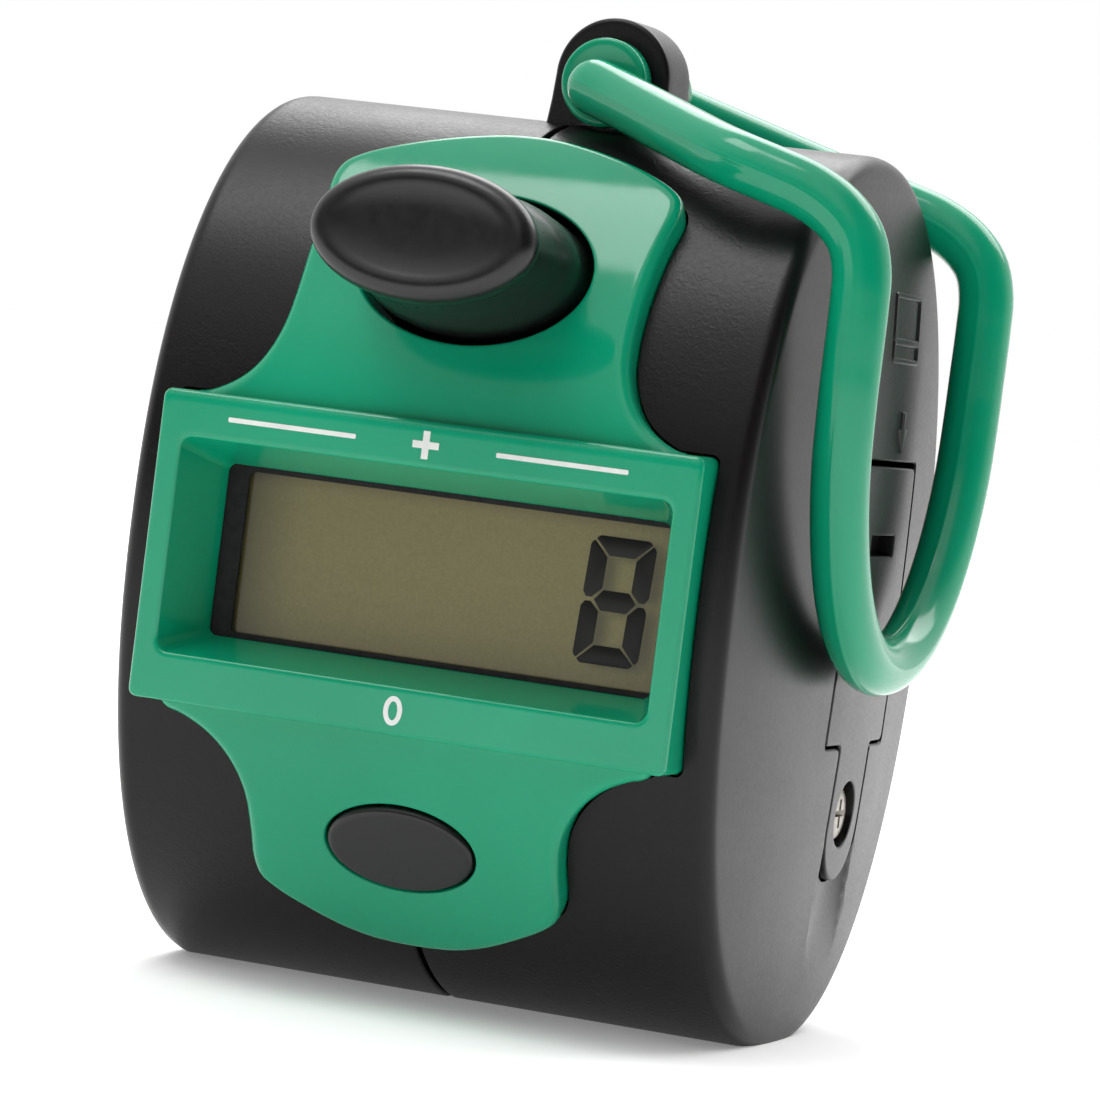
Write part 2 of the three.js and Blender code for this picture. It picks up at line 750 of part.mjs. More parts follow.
// ---------------------------------------------------------------- buttons
const countButton = union(
  ellipsePrism(COUNT, [
    [-5.0, 6.5, 4.15],
    [0.6, 6.5, 4.15],
    [2.4, 6.1, 3.6],
    [4.4, 5.75, 3.1],
    [6.0, 5.6, 2.95],
    [6.45, 6.0, 3.3],
    [6.9, 6.45, 3.7],
    [7.7, 6.6, 3.8],
    [8.35, 6.35, 3.6],
    [8.7, 5.7, 3.05],
    [8.55, 4.2, 2.1],
  ]),
  tiltedBox(COUNT, 7.7, -5.0, -4.2, -2.8, 0.0),
  ellipsePrism(COUNT, [
    [-5.3, 1.5, 1.5],
    [-4.5, 1.5, 1.5],
  ], 14),
);
place("count_button", countButton, black());

const resetButton = union(
  ellipsePrism(RESET, [
    [-3.9, 4.28, 2.45],
    [-0.35, 4.28, 2.45],
    [0.0, 4.1, 2.28],
    [0.16, 3.6, 1.85],
    [0.2, 2.0, 1.0],
  ], 24),
  ellipsePrism(RESET, [
    [-4.6, 5.2, 3.2],
    [-3.8, 5.2, 3.2],
  ], 24),
  ellipsePrism(RESET, [
    [-6.0, 1.3, 1.3],
    [-4.5, 1.3, 1.3],
  ], 14),
);
place("reset_button", resetButton, black());

// ---------------------------------------------------------------- display
const gasket = cut(
  box(-14.4, 14.4, WINDOW.y + 0.3, LCD.y0 - GAP + 0.1, -7.0, 5.5),
  box(-12.75, 12.75, -18, -16, -5.35, 3.75),
);
place("display_gasket", gasket, material("gasket", 0x0c0c0c, 0.8));
place(
  "lcd_panel",
  union(
    box(-LCD.x, LCD.x, LCD.y0, LCD.y1, LCD.z0, LCD.z1),
    box(-LCD.x, LCD.x, LCD.y1 - 0.1, LCD.y2, LCD.step, LCD.z1),
  ),
  material("lcd", 0x6f7257, 0.25),
);
place(
  "zebra_connector",
  box(-12.5, 12.5, LCD.y1 + GAP, BOARD.y0 - GAP, -7.1, -5.9),
  material("elastomer", 0x3a3a3c, 0.7),
);

// ---------------------------------------------------------------- circuit board
const boardShape = new THREE.Shape();
const bc = 5.5;
boardShape.moveTo(-BOARD.x + bc, BOARD.z0);
boardShape.lineTo(BOARD.x - bc, BOARD.z0);
boardShape.lineTo(BOARD.x, BOARD.z0 + bc);
boardShape.lineTo(BOARD.x, BOARD.z1 - bc);
boardShape.lineTo(BOARD.x - bc, BOARD.z1);
boardShape.lineTo(-BOARD.x + bc, BOARD.z1);
boardShape.lineTo(-BOARD.x, BOARD.z1 - bc);
boardShape.lineTo(-BOARD.x, BOARD.z0 + bc);
const board = cut(
  solid(
    new THREE.ExtrudeGeometry(boardShape, { depth: BOARD.y1 - BOARD.y0, bevelEnabled: false })
      .rotateX(Math.PI / 2)
      .translate(0, BOARD.y1, 0),
  ),
  ...POSTS.map(([x, z]) => rodY(-12, -6, 1.0, x, z, 12)),
);
place("circuit_board", board, material("board", 0x2f6b3a, 0.5));

const chip = turned(
  [
    [0, 1.5],
    [2.2, 1.35],
    [3.7, 0.8],
    [4.3, 0],
    [0, 0],
  ],
  16,
  "y",
);
const chipAt = new THREE.Group();
chipAt.position.set(-3, BOARD.y1 + GAP, -2);
raised.add(chipAt);
place("chip_cover", chip, material("epoxy", 0x0e0e10, 0.35), chipAt);

// Conductive rubber pads that the two buttons press onto the board.
function pad(name, x, z) {
  const g = new THREE.Group();
  g.position.set(x, BOARD.y0 - GAP, z);
  g.rotation.x = Math.PI;
  raised.add(g);
  place(
    name,
    turned(
      [
        [0, 0.8],
        [1.9, 0.8],
        [2.9, 0.25],
        [3.1, 0],
        [0, 0],
      ],
      18,
      "y",
    ),
    material("rubber", 0x4a4a4d, 0.8),
    g,
  );
}
pad("count_contact_pad", 0, 15.7);
pad("reset_contact_pad", 0, -13.2);

// ---------------------------------------------------------------- power
const cell = turned(
  [
    [0, 0],
    [4.6, 0],
    [4.9, 0.25],
    [4.9, 1.1],
    [5.45, 1.1],
    [CELL.r, 1.5],
    [CELL.r, 5.1],
    [5.5, 5.4],
    [0, 5.4],
  ],
  20,
  "x",
);
const cellAt = new THREE.Group();
cellAt.position.set(CELL.x0, CELL.y, CELL.z);
raised.add(cellAt);
place("battery_cell", cell, material("cell", 0xc7c9cc, 0.25, 1), cellAt);

place(
  "battery_contact_positive",
  union(box(8.4, 16.2, 3.5, 6.3, 6.35, 6.65), box(15.9, 16.2, 3.5, 6.3, 6.35, 6.95)),
  material("contact", 0xcfc9b0, 0.3, 1),
);
place(
  "battery_contact_negative",
  union(box(10.8, 11.1, 3.2, 6.6, -3.95, 3.6), box(8.4, 11.1, 3.7, 6.1, -3.95, -3.65)),
  material("contact", 0xcfc9b0, 0.3, 1),
);

function lead(name, pts, color) {
  const curve = new THREE.CatmullRomCurve3(pts.map((p) => new THREE.Vector3(...p)));
  const s = new THREE.Shape(
    Array.from({ length: 8 }, (_, i) => {
      const a = (i / 8) * Math.PI * 2;
      return new THREE.Vector2(0.45 * Math.cos(a), 0.45 * Math.sin(a));
    }),
  );
  place(
    name,
    solid(new THREE.ExtrudeGeometry(s, { steps: 14, extrudePath: curve, bevelEnabled: false })),
    material(name, color, 0.5),
  );
}
lead(
  "battery_lead_positive",
  [
    [8.0, 4.9, 6.5],
    [6.9, 3.6, 7.2],
    [6.2, 0.5, 8.6],
    [6.2, -3.6, 9.2],
    [6.2, BOARD.y1 + 0.4, 9.2],
  ],
  0xa81c1c,
);
lead(
  "battery_lead_negative",
  [
    [8.0, 4.9, -3.8],
    [6.9, 3.6, -4.8],
    [6.2, 0.5, -7.0],
    [6.2, -3.6, -8.2],
    [6.2, BOARD.y1 + 0.4, -8.2],
  ],
  0x151515,
);

export default part;
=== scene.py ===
import math

import bpy
import bmesh
import numpy as np
from mathutils import Matrix, Vector
from mathutils.geometry import delaunay_2d_cdt


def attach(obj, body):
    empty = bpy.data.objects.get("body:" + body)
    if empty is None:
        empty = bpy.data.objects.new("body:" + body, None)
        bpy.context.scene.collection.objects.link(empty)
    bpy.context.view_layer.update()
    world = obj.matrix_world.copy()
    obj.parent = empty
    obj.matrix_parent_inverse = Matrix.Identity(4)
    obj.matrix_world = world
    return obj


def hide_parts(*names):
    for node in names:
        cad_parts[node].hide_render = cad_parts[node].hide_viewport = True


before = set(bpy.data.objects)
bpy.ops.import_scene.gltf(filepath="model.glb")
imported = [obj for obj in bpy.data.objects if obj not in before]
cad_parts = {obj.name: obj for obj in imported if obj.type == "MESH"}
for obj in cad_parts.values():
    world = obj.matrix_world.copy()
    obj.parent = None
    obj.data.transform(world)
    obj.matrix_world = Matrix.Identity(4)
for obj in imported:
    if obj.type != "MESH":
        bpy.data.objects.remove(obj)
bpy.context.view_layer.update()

# Everything below is shaped in millimetres from the drum's centre (X right, -Y face, Z up),
# and put into the frame, in metres, when a piece is finished.
MM = 0.001
LIFT = 25.4

# ---------------------------------------------------------------- sizes shared with the frame
HALF_H, HALF_D, POWER = 26.0, 19.5, 2.2
RIM_X, WALL = 17.85, 1.6
WIDER_L = 0.3                         # the left end cap stands this much further out
SEAM_L, SEAM_R = 0.75, -0.45          # distance out from x 0 of each half's open edge
BASE_Z = -25.4
PROUD, BACK = 1.5, -1.3
EDGE = 0.68                           # rounding of the faceplate's lobes
SKIN_GAP = 0.14

BEZEL = dict(x=16.05, z0=-9.5, z1=7.95, y0=-21.4, y1=-14.3)
RECESS = (14.6, -6.75, 5.33)
WINDOW = (13.3, -5.72, 4.06, -17.3)
LCD = dict(x=14.3, z0=-7.2, z1=5.4, y0=-16.6, y1=-15.6, y2=-14.6, step=-5.6)

COUNT = dict(y=-18.0, z=16.8, tilt=9.0, a=6.95, b=4.6)
RESET = dict(y=-17.76, z=-16.06, tilt=-26.2, a=4.56, b=2.74)
PIVOT = (1.5, 28.4)
LUG = dict(x=1.45, r=3.5, z=28.8, y0=-2.85, y1=1.4, bore=1.6)
WIRE, DISC, PIN = 1.65, 2.6, 1.25
CELL = dict(y=4.9, z=0.2)
DOOR = dict(y0=-1.45, y1=11.25, z0=-8.0, z1=8.35, tongue=3.25, zt=-12.9, thick=1.7)
DOOR_SCREW = (4.9, -12.2)
SHELL_SCREWS = ((9.5, 17.0), (9.5, -17.0))
POSTS = ((-12.5, 7.2), (12.5, 7.2), (-12.5, -8.9), (12.5, -8.9))
BAY = dict(y0=-1.25, y1=11.05, z0=-5.95, z1=7.2, x0=9.3, floor=10.5, wall=1.2)

UPPER = [(15.4, 6.4), (15.4, 7.95), (13.9, 8.2), (12.6, 8.85), (11.6, 9.7), (10.85, 10.9), (10.35, 12.4),
         (10.15, 14.2), (10.15, 17.0), (10.35, 19.9), (10.5, 21.3), (10.25, 22.1), (9.45, 22.7), (7.65, 23.45),
         (5.6, 24.05), (3.2, 24.55), (1.2, 24.8)]
LOWER = [(14.9, -7.9), (14.9, -10.0), (13.6, -10.3), (12.2, -10.95), (11.0, -11.9), (10.1, -13.1), (9.55, -14.5),
         (9.35, -16.2), (9.3, -18.2), (9.0, -19.1), (8.2, -19.75), (6.4, -20.65), (4.2, -21.5), (2.0, -21.95)]

# ---------------------------------------------------------------- drum section
_a = np.linspace(0, math.pi / 2, 6001)
_qy = -HALF_D * np.clip(np.cos(_a), 0, 1) ** (2 / POWER)
_qz = HALF_H * np.sin(_a) ** (2 / POWER)
_ny = -((np.abs(_qy) / HALF_D) ** (POWER - 1)) / HALF_D
_nz = (_qz / HALF_H) ** (POWER - 1) / HALF_H
_k = np.hypot(_ny, _nz)
_ny, _nz = _ny / _k, _nz / _k
_len = np.concatenate([[0], np.cumsum(np.hypot(np.diff(_qy), np.diff(_qz)))])
QL = _len[-1]


def quarter(s):
    return [np.interp(s, _len, t) for t in (_qy, _qz, _ny, _nz)]


def wrap(s, h):
    """Point at arc length s up from the front centre line, h above the drum's skin."""
    s = np.asarray(s, float)
    y, z, ny, nz = quarter(np.minimum(np.abs(s), QL))
    return y + h * ny, np.where(s < 0, -1, 1) * (z + h * nz)


def arc_at(z, h):
    lo, hi = 0.0, QL
    for _ in range(48):
        m = (lo + hi) / 2
        if wrap(m, h)[1] < abs(z):
            lo = m
        else:
            hi = m
    return math.copysign(lo, z)


def section(n):
    """Whole section, n evenly spaced points with their normals, starting at the front."""
    q = n // 4
    y, z, ny, nz = quarter(np.arange(q) / q * QL)
    Y = np.concatenate([y, [0], -y[:0:-1], [-y[0]], -y[1:], [0], y[:0:-1]])
    Z = np.concatenate([z, [HALF_H], z[:0:-1], [0], -z[1:], [-HALF_H], -z[:0:-1]])
    NY = np.concatenate([ny, [0], -ny[:0:-1], [-ny[0]], -ny[1:], [0], ny[:0:-1]])
    NZ = np.concatenate([nz, [1], nz[:0:-1], [0], -nz[1:], [-1], -nz[:0:-1]])
    return Y, Z, NY, NZ


ROUND = 1.0
T_END = math.radians(83.5)
INSET_E = ROUND * (1 - math.cos(T_END))
X_E = 17.96
DOME_E = 19.15 - X_E
X_0 = X_E - ROUND * math.sin(T_END)


def cap_x(y, z):
    """Outward x of the domed end cap over a point."""
    q = ((np.abs(y) / (HALF_D - INSET_E)) ** POWER + (np.abs(z) / (HALF_H - INSET_E)) ** POWER) ** (1 / POWER)
    return X_E + DOME_E * (1 - q * q)


# ---------------------------------------------------------------- mesh helpers
def to_mesh(verts, faces, name="m"):
    me = bpy.data.meshes.new(name)
    me.from_pydata([tuple(map(float, v)) for v in verts], [], [tuple(int(i) for i in f) for f in faces])
    bm = bmesh.new()
    bm.from_mesh(me)
    bmesh.ops.remove_doubles(bm, verts=bm.verts, dist=1e-5)
    bmesh.ops.dissolve_degenerate(bm, dist=1e-6, edges=bm.edges)
    bmesh.ops.recalc_face_normals(bm, faces=bm.faces)
    bm.to_mesh(me)
    bm.free()
    return me


def skin(loops, start=None, end=None, closed=False):
    """Loops of equal point count joined into a skin; start and end are fan points."""
    n = len(loops[0])
    v = [p for lp in loops for p in lp]
    f = []
    last = len(loops) if closed else len(loops) - 1
    for r in range(last):
        a0, b0 = r * n, ((r + 1) % len(loops)) * n
        for i in range(n):
            j = (i + 1) % n
            f.append((a0 + i, a0 + j, b0 + j, b0 + i))
    if start is not None:
        v.append(start)
        f += [(len(v) - 1, (i + 1) % n, i) for i in range(n)]
    if end is not None:
        v.append(end)
        k = (len(loops) - 1) * n
        f += [(len(v) - 1, k + i, k + (i + 1) % n) for i in range(n)]
    return to_mesh(v, f)


def closed(me):
    bm = bmesh.new()
    bm.from_mesh(me)
    ok = all(len(e.link_faces) == 2 for e in bm.edges)
    bm.free()
    return ok


def boolean(a, b, op):
    """a and b are meshes; the result is a new mesh. Both inputs are used up."""
    if not closed(b):
        raise RuntimeError("a mesh that should be closed isn't, near %s" % [round(c, 2) for c in b.vertices[0].co])
    sc = bpy.context.scene.collection
    oa, ob = bpy.data.objects.new("ba", a), bpy.data.objects.new("bb", b)
    sc.objects.link(oa)
    sc.objects.link(ob)
    m = oa.modifiers.new("b", "BOOLEAN")
    m.operation, m.object = op, ob
    m.solver = "MANIFOLD" if closed(a) else "EXACT"
    dg = bpy.context.evaluated_depsgraph_get()
    out = bpy.data.meshes.new_from_object(oa.evaluated_get(dg), depsgraph=dg)
    bpy.data.objects.remove(oa)
    bpy.data.objects.remove(ob)
    return out


def union(a, *bs):
    for b in bs:
        a = boolean(a, b, "UNION")
    return a


def cut(a, *bs):
    for b in bs:
        a = boolean(a, b, "DIFFERENCE")
    return a


def common(a, b):
    return boolean(a, b, "INTERSECT")


def box(x0, x1, y0, y1, z0, z1):
    v = [(x, y, z) for x in (x0, x1) for y in (y0, y1) for z in (z0, z1)]
    return to_mesh(v, [(0, 1, 3, 2), (4, 6, 7, 5), (0, 4, 5, 1), (2, 3, 7, 6), (0, 2, 6, 4), (1, 5, 7, 3)])


def rod(axis, a0, a1, r, c0, c1, n=48, r1=None):
    """Cylinder along axis x or y, from a0 to a1; c0, c1 are its centre in the other two axes."""
    r1 = r if r1 is None else r1
    t = np.arange(n) / n * 2 * math.pi
    loops = []
    for a, rr in ((a0, r), (a1, r1)):
        u, w = c0 + rr * np.cos(t), c1 + rr * np.sin(t)
        loops.append(np.stack([np.full(n, a), u, w], 1) if axis == "x" else np.stack([u, np.full(n, a), w], 1))
    ctr = (lambda a: (a, c0, c1)) if axis == "x" else (lambda a: (c0, a, c1))
    return skin(loops, ctr(a0), ctr(a1))


def lathe(profile, n, place):
    """profile of (radius, along), first and last on the axis; place maps (u, w, along) to a point."""
    t = np.arange(n) / n * 2 * math.pi
    loops = [[place(r * math.cos(x), r * math.sin(x), h) for x in t] for r, h in profile[1:-1]]
    return skin(loops, place(0, 0, profile[0][1]), place(0, 0, profile[-1][1]))


def inside(pts, loop):
    x, y = pts[:, 0][:, None], pts[:, 1][:, None]
    x0, y0 = loop[:, 0][None], loop[:, 1][None]
    x1, y1 = np.roll(loop[:, 0], -1)[None], np.roll(loop[:, 1], -1)[None]
    hit = ((y0 > y) != (y1 > y)) & (x < (x1 - x0) * (y - y0) / np.where(y1 == y0, 1e-12, y1 - y0) + x0)
    return hit.sum(1) % 2 == 1


def area(loop):
    x, y = loop[:, 0], loop[:, 1]
    return 0.5 * float(np.sum(x * np.roll(y, -1) - np.roll(x, -1) * y))


def offset(loop, d):
    """Moves a closed loop inwards by d (outwards if negative)."""
    if abs(d) < 1e-9:
        return loop.copy()
    e = np.roll(loop, -1, 0) - loop
    e /= np.linalg.norm(e, axis=1)[:, None] + 1e-12
    n = np.stack([-e[:, 1], e[:, 0]], 1) * (1 if area(loop) > 0 else -1)
    n0 = np.roll(n, 1, 0)
    m = n + n0
    m /= np.linalg.norm(m, axis=1)[:, None] + 1e-12
    k = d / np.maximum((m * n).sum(1), 0.5)
    return loop + m * k[:, None]


def fill(loops, grid):
    """Triangles of the region inside loops[0] and outside the others, with inner grid points. Returns (points, faces)."""
    pts = np.concatenate(loops)
    edges, k = [], 0
    for lp in loops:
        n = len(lp)
        edges += [(k + i, k + (i + 1) % n) for i in range(n)]
        k += n
    if grid:
        lo, hi = loops[0].min(0), loops[0].max(0)
        gx = np.arange(lo[0] + grid * 0.5, hi[0], grid)
        gy = np.arange(lo[1] + grid * 0.5, hi[1], grid * 0.866)
        G = np.array([(x + (grid / 2 if j % 2 else 0), y) for j, y in enumerate(gy) for x in gx])
        keep = inside(G, loops[0])
        for lp in loops[1:]:
            keep &= ~inside(G, lp)
        G = G[keep]
        for lp in loops:
            A, B = lp[None], np.roll(lp, -1, 0)[None]
            d = B - A
            t = np.clip(((G[:, None] - A) * d).sum(2) / (d * d).sum(2), 0, 1)
            G = G[np.linalg.norm(G[:, None] - A - t[..., None] * d, axis=2).min(1) > 0.5 * grid]
        pts = np.concatenate([pts, G])
    r = delaunay_2d_cdt([Vector(map(float, p)) for p in pts], edges, [], 1, 1e-7)
    ov, faces = r[0], r[2]
    P = np.array([(v[0], v[1]) for v in ov])
    F = np.array([list(f) for f in faces if len(f) == 3])
    C = P[F].mean(1)
    keep = np.ones(len(F), bool)
    for lp in loops[1:]:
        keep &= ~inside(C, lp)
    return P, F[keep]


def slab(levels, place, holes=(), grid=0.8, grid_low=None):
    """A plate. levels: (loop, h) from the underside round to the top face. holes: (kind, levels) from the top face down,
    kind 'through' or 'blind'. place maps (u, v, h) arrays to points."""
    V, F = [], []
    count = [0]

    def add(P, h):
        x, y, z = place(P[:, 0], P[:, 1], np.full(len(P), h, float))
        V.append(np.stack([x, y, z], 1))
        k = count[0]
        count[0] += len(P)
        return k

    def strip(levels):
        idx = [add(lp, h) for lp, h in levels]
        n = len(levels[0][0])
        for a0, b0 in zip(idx, idx[1:]):
            for i in range(n):
                j = (i + 1) % n
                F.append((a0 + i, a0 + j, b0 + j, b0 + i))

    strip(levels)
    for kind, hl in holes:
        strip(hl)
    P, T = fill([levels[-1][0]] + [hl[0][0] for _, hl in holes], grid)
    k = add(P, levels[-1][1])
    F.extend([tuple(k + t) for t in T])
    P, T = fill([levels[0][0]] + [hl[-1][0] for kind, hl in holes if kind == "through"], grid_low or grid)
    k = add(P, levels[0][1])
    F.extend([tuple(k + t) for t in T])
    for kind, hl in holes:
        if kind == "blind":
            P, T = fill([hl[-1][0]], grid)
            k = add(P, hl[-1][1])
            F.extend([tuple(k + t) for t in T])
    return to_mesh(np.concatenate(V), F)


def round_levels(loop, h, r, steps=6, hold=0.0, up=1, lateral=None):
    """Levels that turn a side wall over a rounded edge onto the face at height h."""
    lateral = lateral or r
    out = []
    for i in range(steps + 1):
        t = i / steps * math.pi / 2
        out.append((offset(loop, lateral * (1 - math.cos(t))), h - up * r * (1 - math.sin(t))))
    if hold:
        out.append((offset(loop, lateral + hold), h))
    return out


def rrect(x0, x1, y0, y1, r, k=6, mx=1, my=1):
    """Rounded rectangle, counter-clockwise, always with the same number of points for the same k, mx, my."""
    c = [(x1 - r, y0 + r, -90), (x1 - r, y1 - r, 0), (x0 + r, y1 - r, 90), (x0 + r, y0 + r, 180)]
    pts = []
    for i, (cx, cy, a0) in enumerate(c):
        for j in range(k + 1):
            a = math.radians(a0 + 90 * j / k)
            pts.append((cx + r * math.cos(a), cy + r * math.sin(a)))
        nx, ny, na = c[(i + 1) % 4]
        p, q = pts[-1], (nx + r * math.cos(math.radians(na)), ny + r * math.sin(math.radians(na)))
        m = my if i % 2 == 0 else mx
        for j in range(1, m):
            pts.append((p[0] + (q[0] - p[0]) * j / m, p[1] + (q[1] - p[1]) * j / m))
    return np.array(pts)


def spline(P, spacing, closed=False):
    """Centripetal Catmull-Rom through points, resampled evenly."""
    P = np.asarray(P, float)
    ext = np.concatenate([[2 * P[0] - P[1]], P, [2 * P[-1] - P[-2]]])
    out = []
    for i in range(len(P) - 1):
        p0, p1, p2, p3 = ext[i:i + 4]
        t0 = 0.0
        t1 = t0 + np.linalg.norm(p1 - p0) ** 0.5
        t2 = t1 + np.linalg.norm(p2 - p1) ** 0.5
        t3 = t2 + np.linalg.norm(p3 - p2) ** 0.5
        t = np.linspace(t1, t2, 24, endpoint=False)[:, None]
        A1 = (t1 - t) / (t1 - t0) * p0 + (t - t0) / (t1 - t0) * p1
        A2 = (t2 - t) / (t2 - t1) * p1 + (t - t1) / (t2 - t1) * p2
        A3 = (t3 - t) / (t3 - t2) * p2 + (t - t2) / (t3 - t2) * p3
        B1 = (t2 - t) / (t2 - t0) * A1 + (t - t0) / (t2 - t0) * A2
        B2 = (t3 - t) / (t3 - t1) * A2 + (t - t1) / (t3 - t1) * A3
        out.append((t2 - t) / (t2 - t1) * B1 + (t - t1) / (t2 - t1) * B2)
    out = np.concatenate(out + [P[-1:]])
    d = np.concatenate([[0], np.cumsum(np.linalg.norm(np.diff(out, axis=0), axis=1))])
    n = max(2, int(round(d[-1] / spacing)) + 1)
    s = np.linspace(0, d[-1], n)
    return np.stack([np.interp(s, d, out[:, k]) for k in range(out.shape[1])], 1)


# ---------------------------------------------------------------- materials
def srgb(r, g, b):
    def lin(c):
        c /= 255
        return c / 12.92 if c <= 0.04045 else ((c + 0.055) / 1.055) ** 2.4
    return (lin(r), lin(g), lin(b), 1.0)


class Mat:
    """A Principled material and short ways to wire noise into it."""

    def __init__(self, name, color, rough, metal=0.0, **sockets):
        self.m = bpy.data.materials.new(name)
        self.m.use_nodes = True
        self.t = self.m.node_tree
        self.n, self.l = self.t.nodes, self.t.links
        self.n.clear()
        self.out = self.n.new("ShaderNodeOutputMaterial")
        self.b = self.n.new("ShaderNodeBsdfPrincipled")
        self.l.new(self.b.outputs[0], self.out.inputs[0])
        self.b.inputs["Base Color"].default_value = color
        self.b.inputs["Roughness"].default_value = rough
        self.b.inputs["Metallic"].default_value = metal
        for k, v in sockets.items():
            self.b.inputs[k.replace("_", " ")].default_value = v
        self.m.diffuse_color = color
        self.co = self.n.new("ShaderNodeTexCoord").outputs["Object"]
        self.normal = None

    def noise(self, scale, detail=2.0, rough=0.5, distortion=0.0, co=None):
        x = self.n.new("ShaderNodeTexNoise")
        x.inputs["Scale"].default_value = scale
        x.inputs["Detail"].default_value = detail
        x.inputs["Roughness"].default_value = rough
        x.inputs["Distortion"].default_value = distortion
        self.l.new(co or self.co, x.inputs["Vector"])
        return x.outputs[0]

    def voronoi(self, scale, feature="F1", out="Distance", randomness=1.0, co=None):
        x = self.n.new("ShaderNodeTexVoronoi")
        x.feature = feature
        x.inputs["Scale"].default_value = scale
        x.inputs["Randomness"].default_value = randomness
        self.l.new(co or self.co, x.inputs["Vector"])
        return x.outputs[out]

    def remap(self, v, a, b, c, d, smooth=False):
        x = self.n.new("ShaderNodeMapRange")
        x.clamp = True
        if smooth:
            x.interpolation_type = "SMOOTHSTEP"
        for i, k in enumerate((a, b, c, d)):
            x.inputs[i + 1].default_value = k
        self.l.new(v, x.inputs[0])
        return x.outputs[0]

    def math(self, op, a, b=None):
        x = self.n.new("ShaderNodeMath")
        x.operation = op
        for i, v in enumerate((a, b)):
            if v is None:
                continue
            if isinstance(v, (int, float)):
                x.inputs[i].default_value = v
            else:
                self.l.new(v, x.inputs[i])
        return x.outputs[0]

    def axis(self, k):
        x = self.n.new("ShaderNodeSeparateXYZ")
        self.l.new(self.co, x.inputs[0])
        return x.outputs[k]

    def mix(self, fac, a, b):
        x = self.n.new("ShaderNodeMix")
        x.data_type = "RGBA"
        if isinstance(fac, (int, float)):
            x.inputs[0].default_value = fac
        else:
            self.l.new(fac, x.inputs[0])
        for i, v in ((6, a), (7, b)):
            if isinstance(v, tuple):
                x.inputs[i].default_value = v
            else:
                self.l.new(v, x.inputs[i])
        return x.outputs[2]

    def color(self, v):
        self.l.new(v, self.b.inputs["Base Color"])

    def rough(self, v):
        self.l.new(v, self.b.inputs["Roughness"])

    def bump(self, height, strength, distance):
        x = self.n.new("ShaderNodeBump")
        x.inputs["Strength"].default_value = strength
        x.inputs["Distance"].default_value = distance
        self.l.new(height, x.inputs["Height"])
        if self.normal is not None:
            self.l.new(self.normal, x.inputs["Normal"])
        self.normal = x.outputs[0]
        self.l.new(self.normal, self.b.inputs["Normal"])


def black_casing():
    """Satin black ABS. The drum carries a soft, fine moulded wrinkle; the end caps are smoother."""
    m = Mat("black_casing", srgb(13, 11, 12), 0.36)
    m.b.inputs["Specular IOR Level"].default_value = 0.27
    far = m.remap(m.math("ABSOLUTE", m.axis(0)), 0.0168, 0.0182, 1.0, 0.12, True)
    wrinkle = m.noise(2300, 1.5, 0.5, 1.4)
    area_ = m.remap(m.noise(110, 2.0, 0.5), 0.42, 0.62, 0.35, 1.0, True)
    m.bump(m.math("MULTIPLY", m.math("MULTIPLY", wrinkle, far), area_), 0.34, 0.00006)
    m.bump(m.noise(7500, 2.0, 0.6), 0.14, 0.00002)
    patch = m.noise(70, 3.0, 0.6)
    m.color(m.mix(patch, srgb(11, 9, 10), srgb(17, 14, 15)))
    m.rough(m.math("ADD", m.remap(patch, 0.3, 0.7, 0.3, 0.38), m.remap(m.noise(3800, 2.0, 0.6), 0.3, 0.7, -0.03, 0.03)))
    return m


def green_plastic(name="green_plastic", rough=0.1):
    """Glossy coloured ABS, very slightly translucent."""
    m = Mat(name, srgb(16, 150, 110), rough)
    m.b.inputs["Specular IOR Level"].default_value = 0.42
    m.b.inputs["Subsurface Weight"].default_value = 0.1
    m.b.inputs["Subsurface Radius"].default_value = (0.3, 1.0, 0.7)
    m.b.inputs["Subsurface Scale"].default_value = 0.0005
    patch = m.noise(60, 3.0, 0.55, 0.3)
    m.color(m.mix(m.remap(patch, 0.3, 0.7, 0, 1), srgb(4, 143, 104), srgb(10, 153, 113)))
    m.rough(m.remap(m.noise(900, 4.0, 0.6), 0.3, 0.7, rough - 0.02, rough + 0.05))
    m.bump(m.noise(160, 2.0, 0.5), 0.05, 0.0001)
    m.bump(m.noise(3000, 2.0, 0.5), 0.03, 0.00002)
    return m


def button_black():
    m = Mat("button_black", srgb(15, 13, 14), 0.24)
    m.color(m.mix(m.noise(160, 3.0, 0.6), srgb(12, 11, 12), srgb(18, 16, 17)))
    m.rough(m.remap(m.noise(1400, 4.0, 0.65), 0.3, 0.7, 0.27, 0.36))
    m.bump(m.noise(5200, 2.0, 0.5), 0.05, 0.00002)
    return m


def metal(name, color, rough=0.28, scale=1800):
    m = Mat(name, color, rough, 1.0)
    m.rough(m.remap(m.noise(scale, 4.0, 0.6), 0.3, 0.7, rough - 0.08, rough + 0.14))
    m.bump(m.noise(scale * 1.6, 3.0, 0.6), 0.15, 0.00002)
    return m


def plain(name, color, rough, scale=900, spread=0.06, strength=0.12):
    m = Mat(name, color, rough)
    dark = tuple(c * 0.82 for c in color[:3]) + (1.0,)
    lite = tuple(min(1, c * 1.12) for c in color[:3]) + (1.0,)
    m.color(m.mix(m.noise(scale * 0.3, 3.0, 0.6), dark, lite))
    m.rough(m.remap(m.noise(scale, 3.0, 0.6), 0.3, 0.7, max(0.02, rough - spread), rough + spread))
    m.bump(m.noise(scale * 3, 2.0, 0.5), strength, 0.00003)
    return m


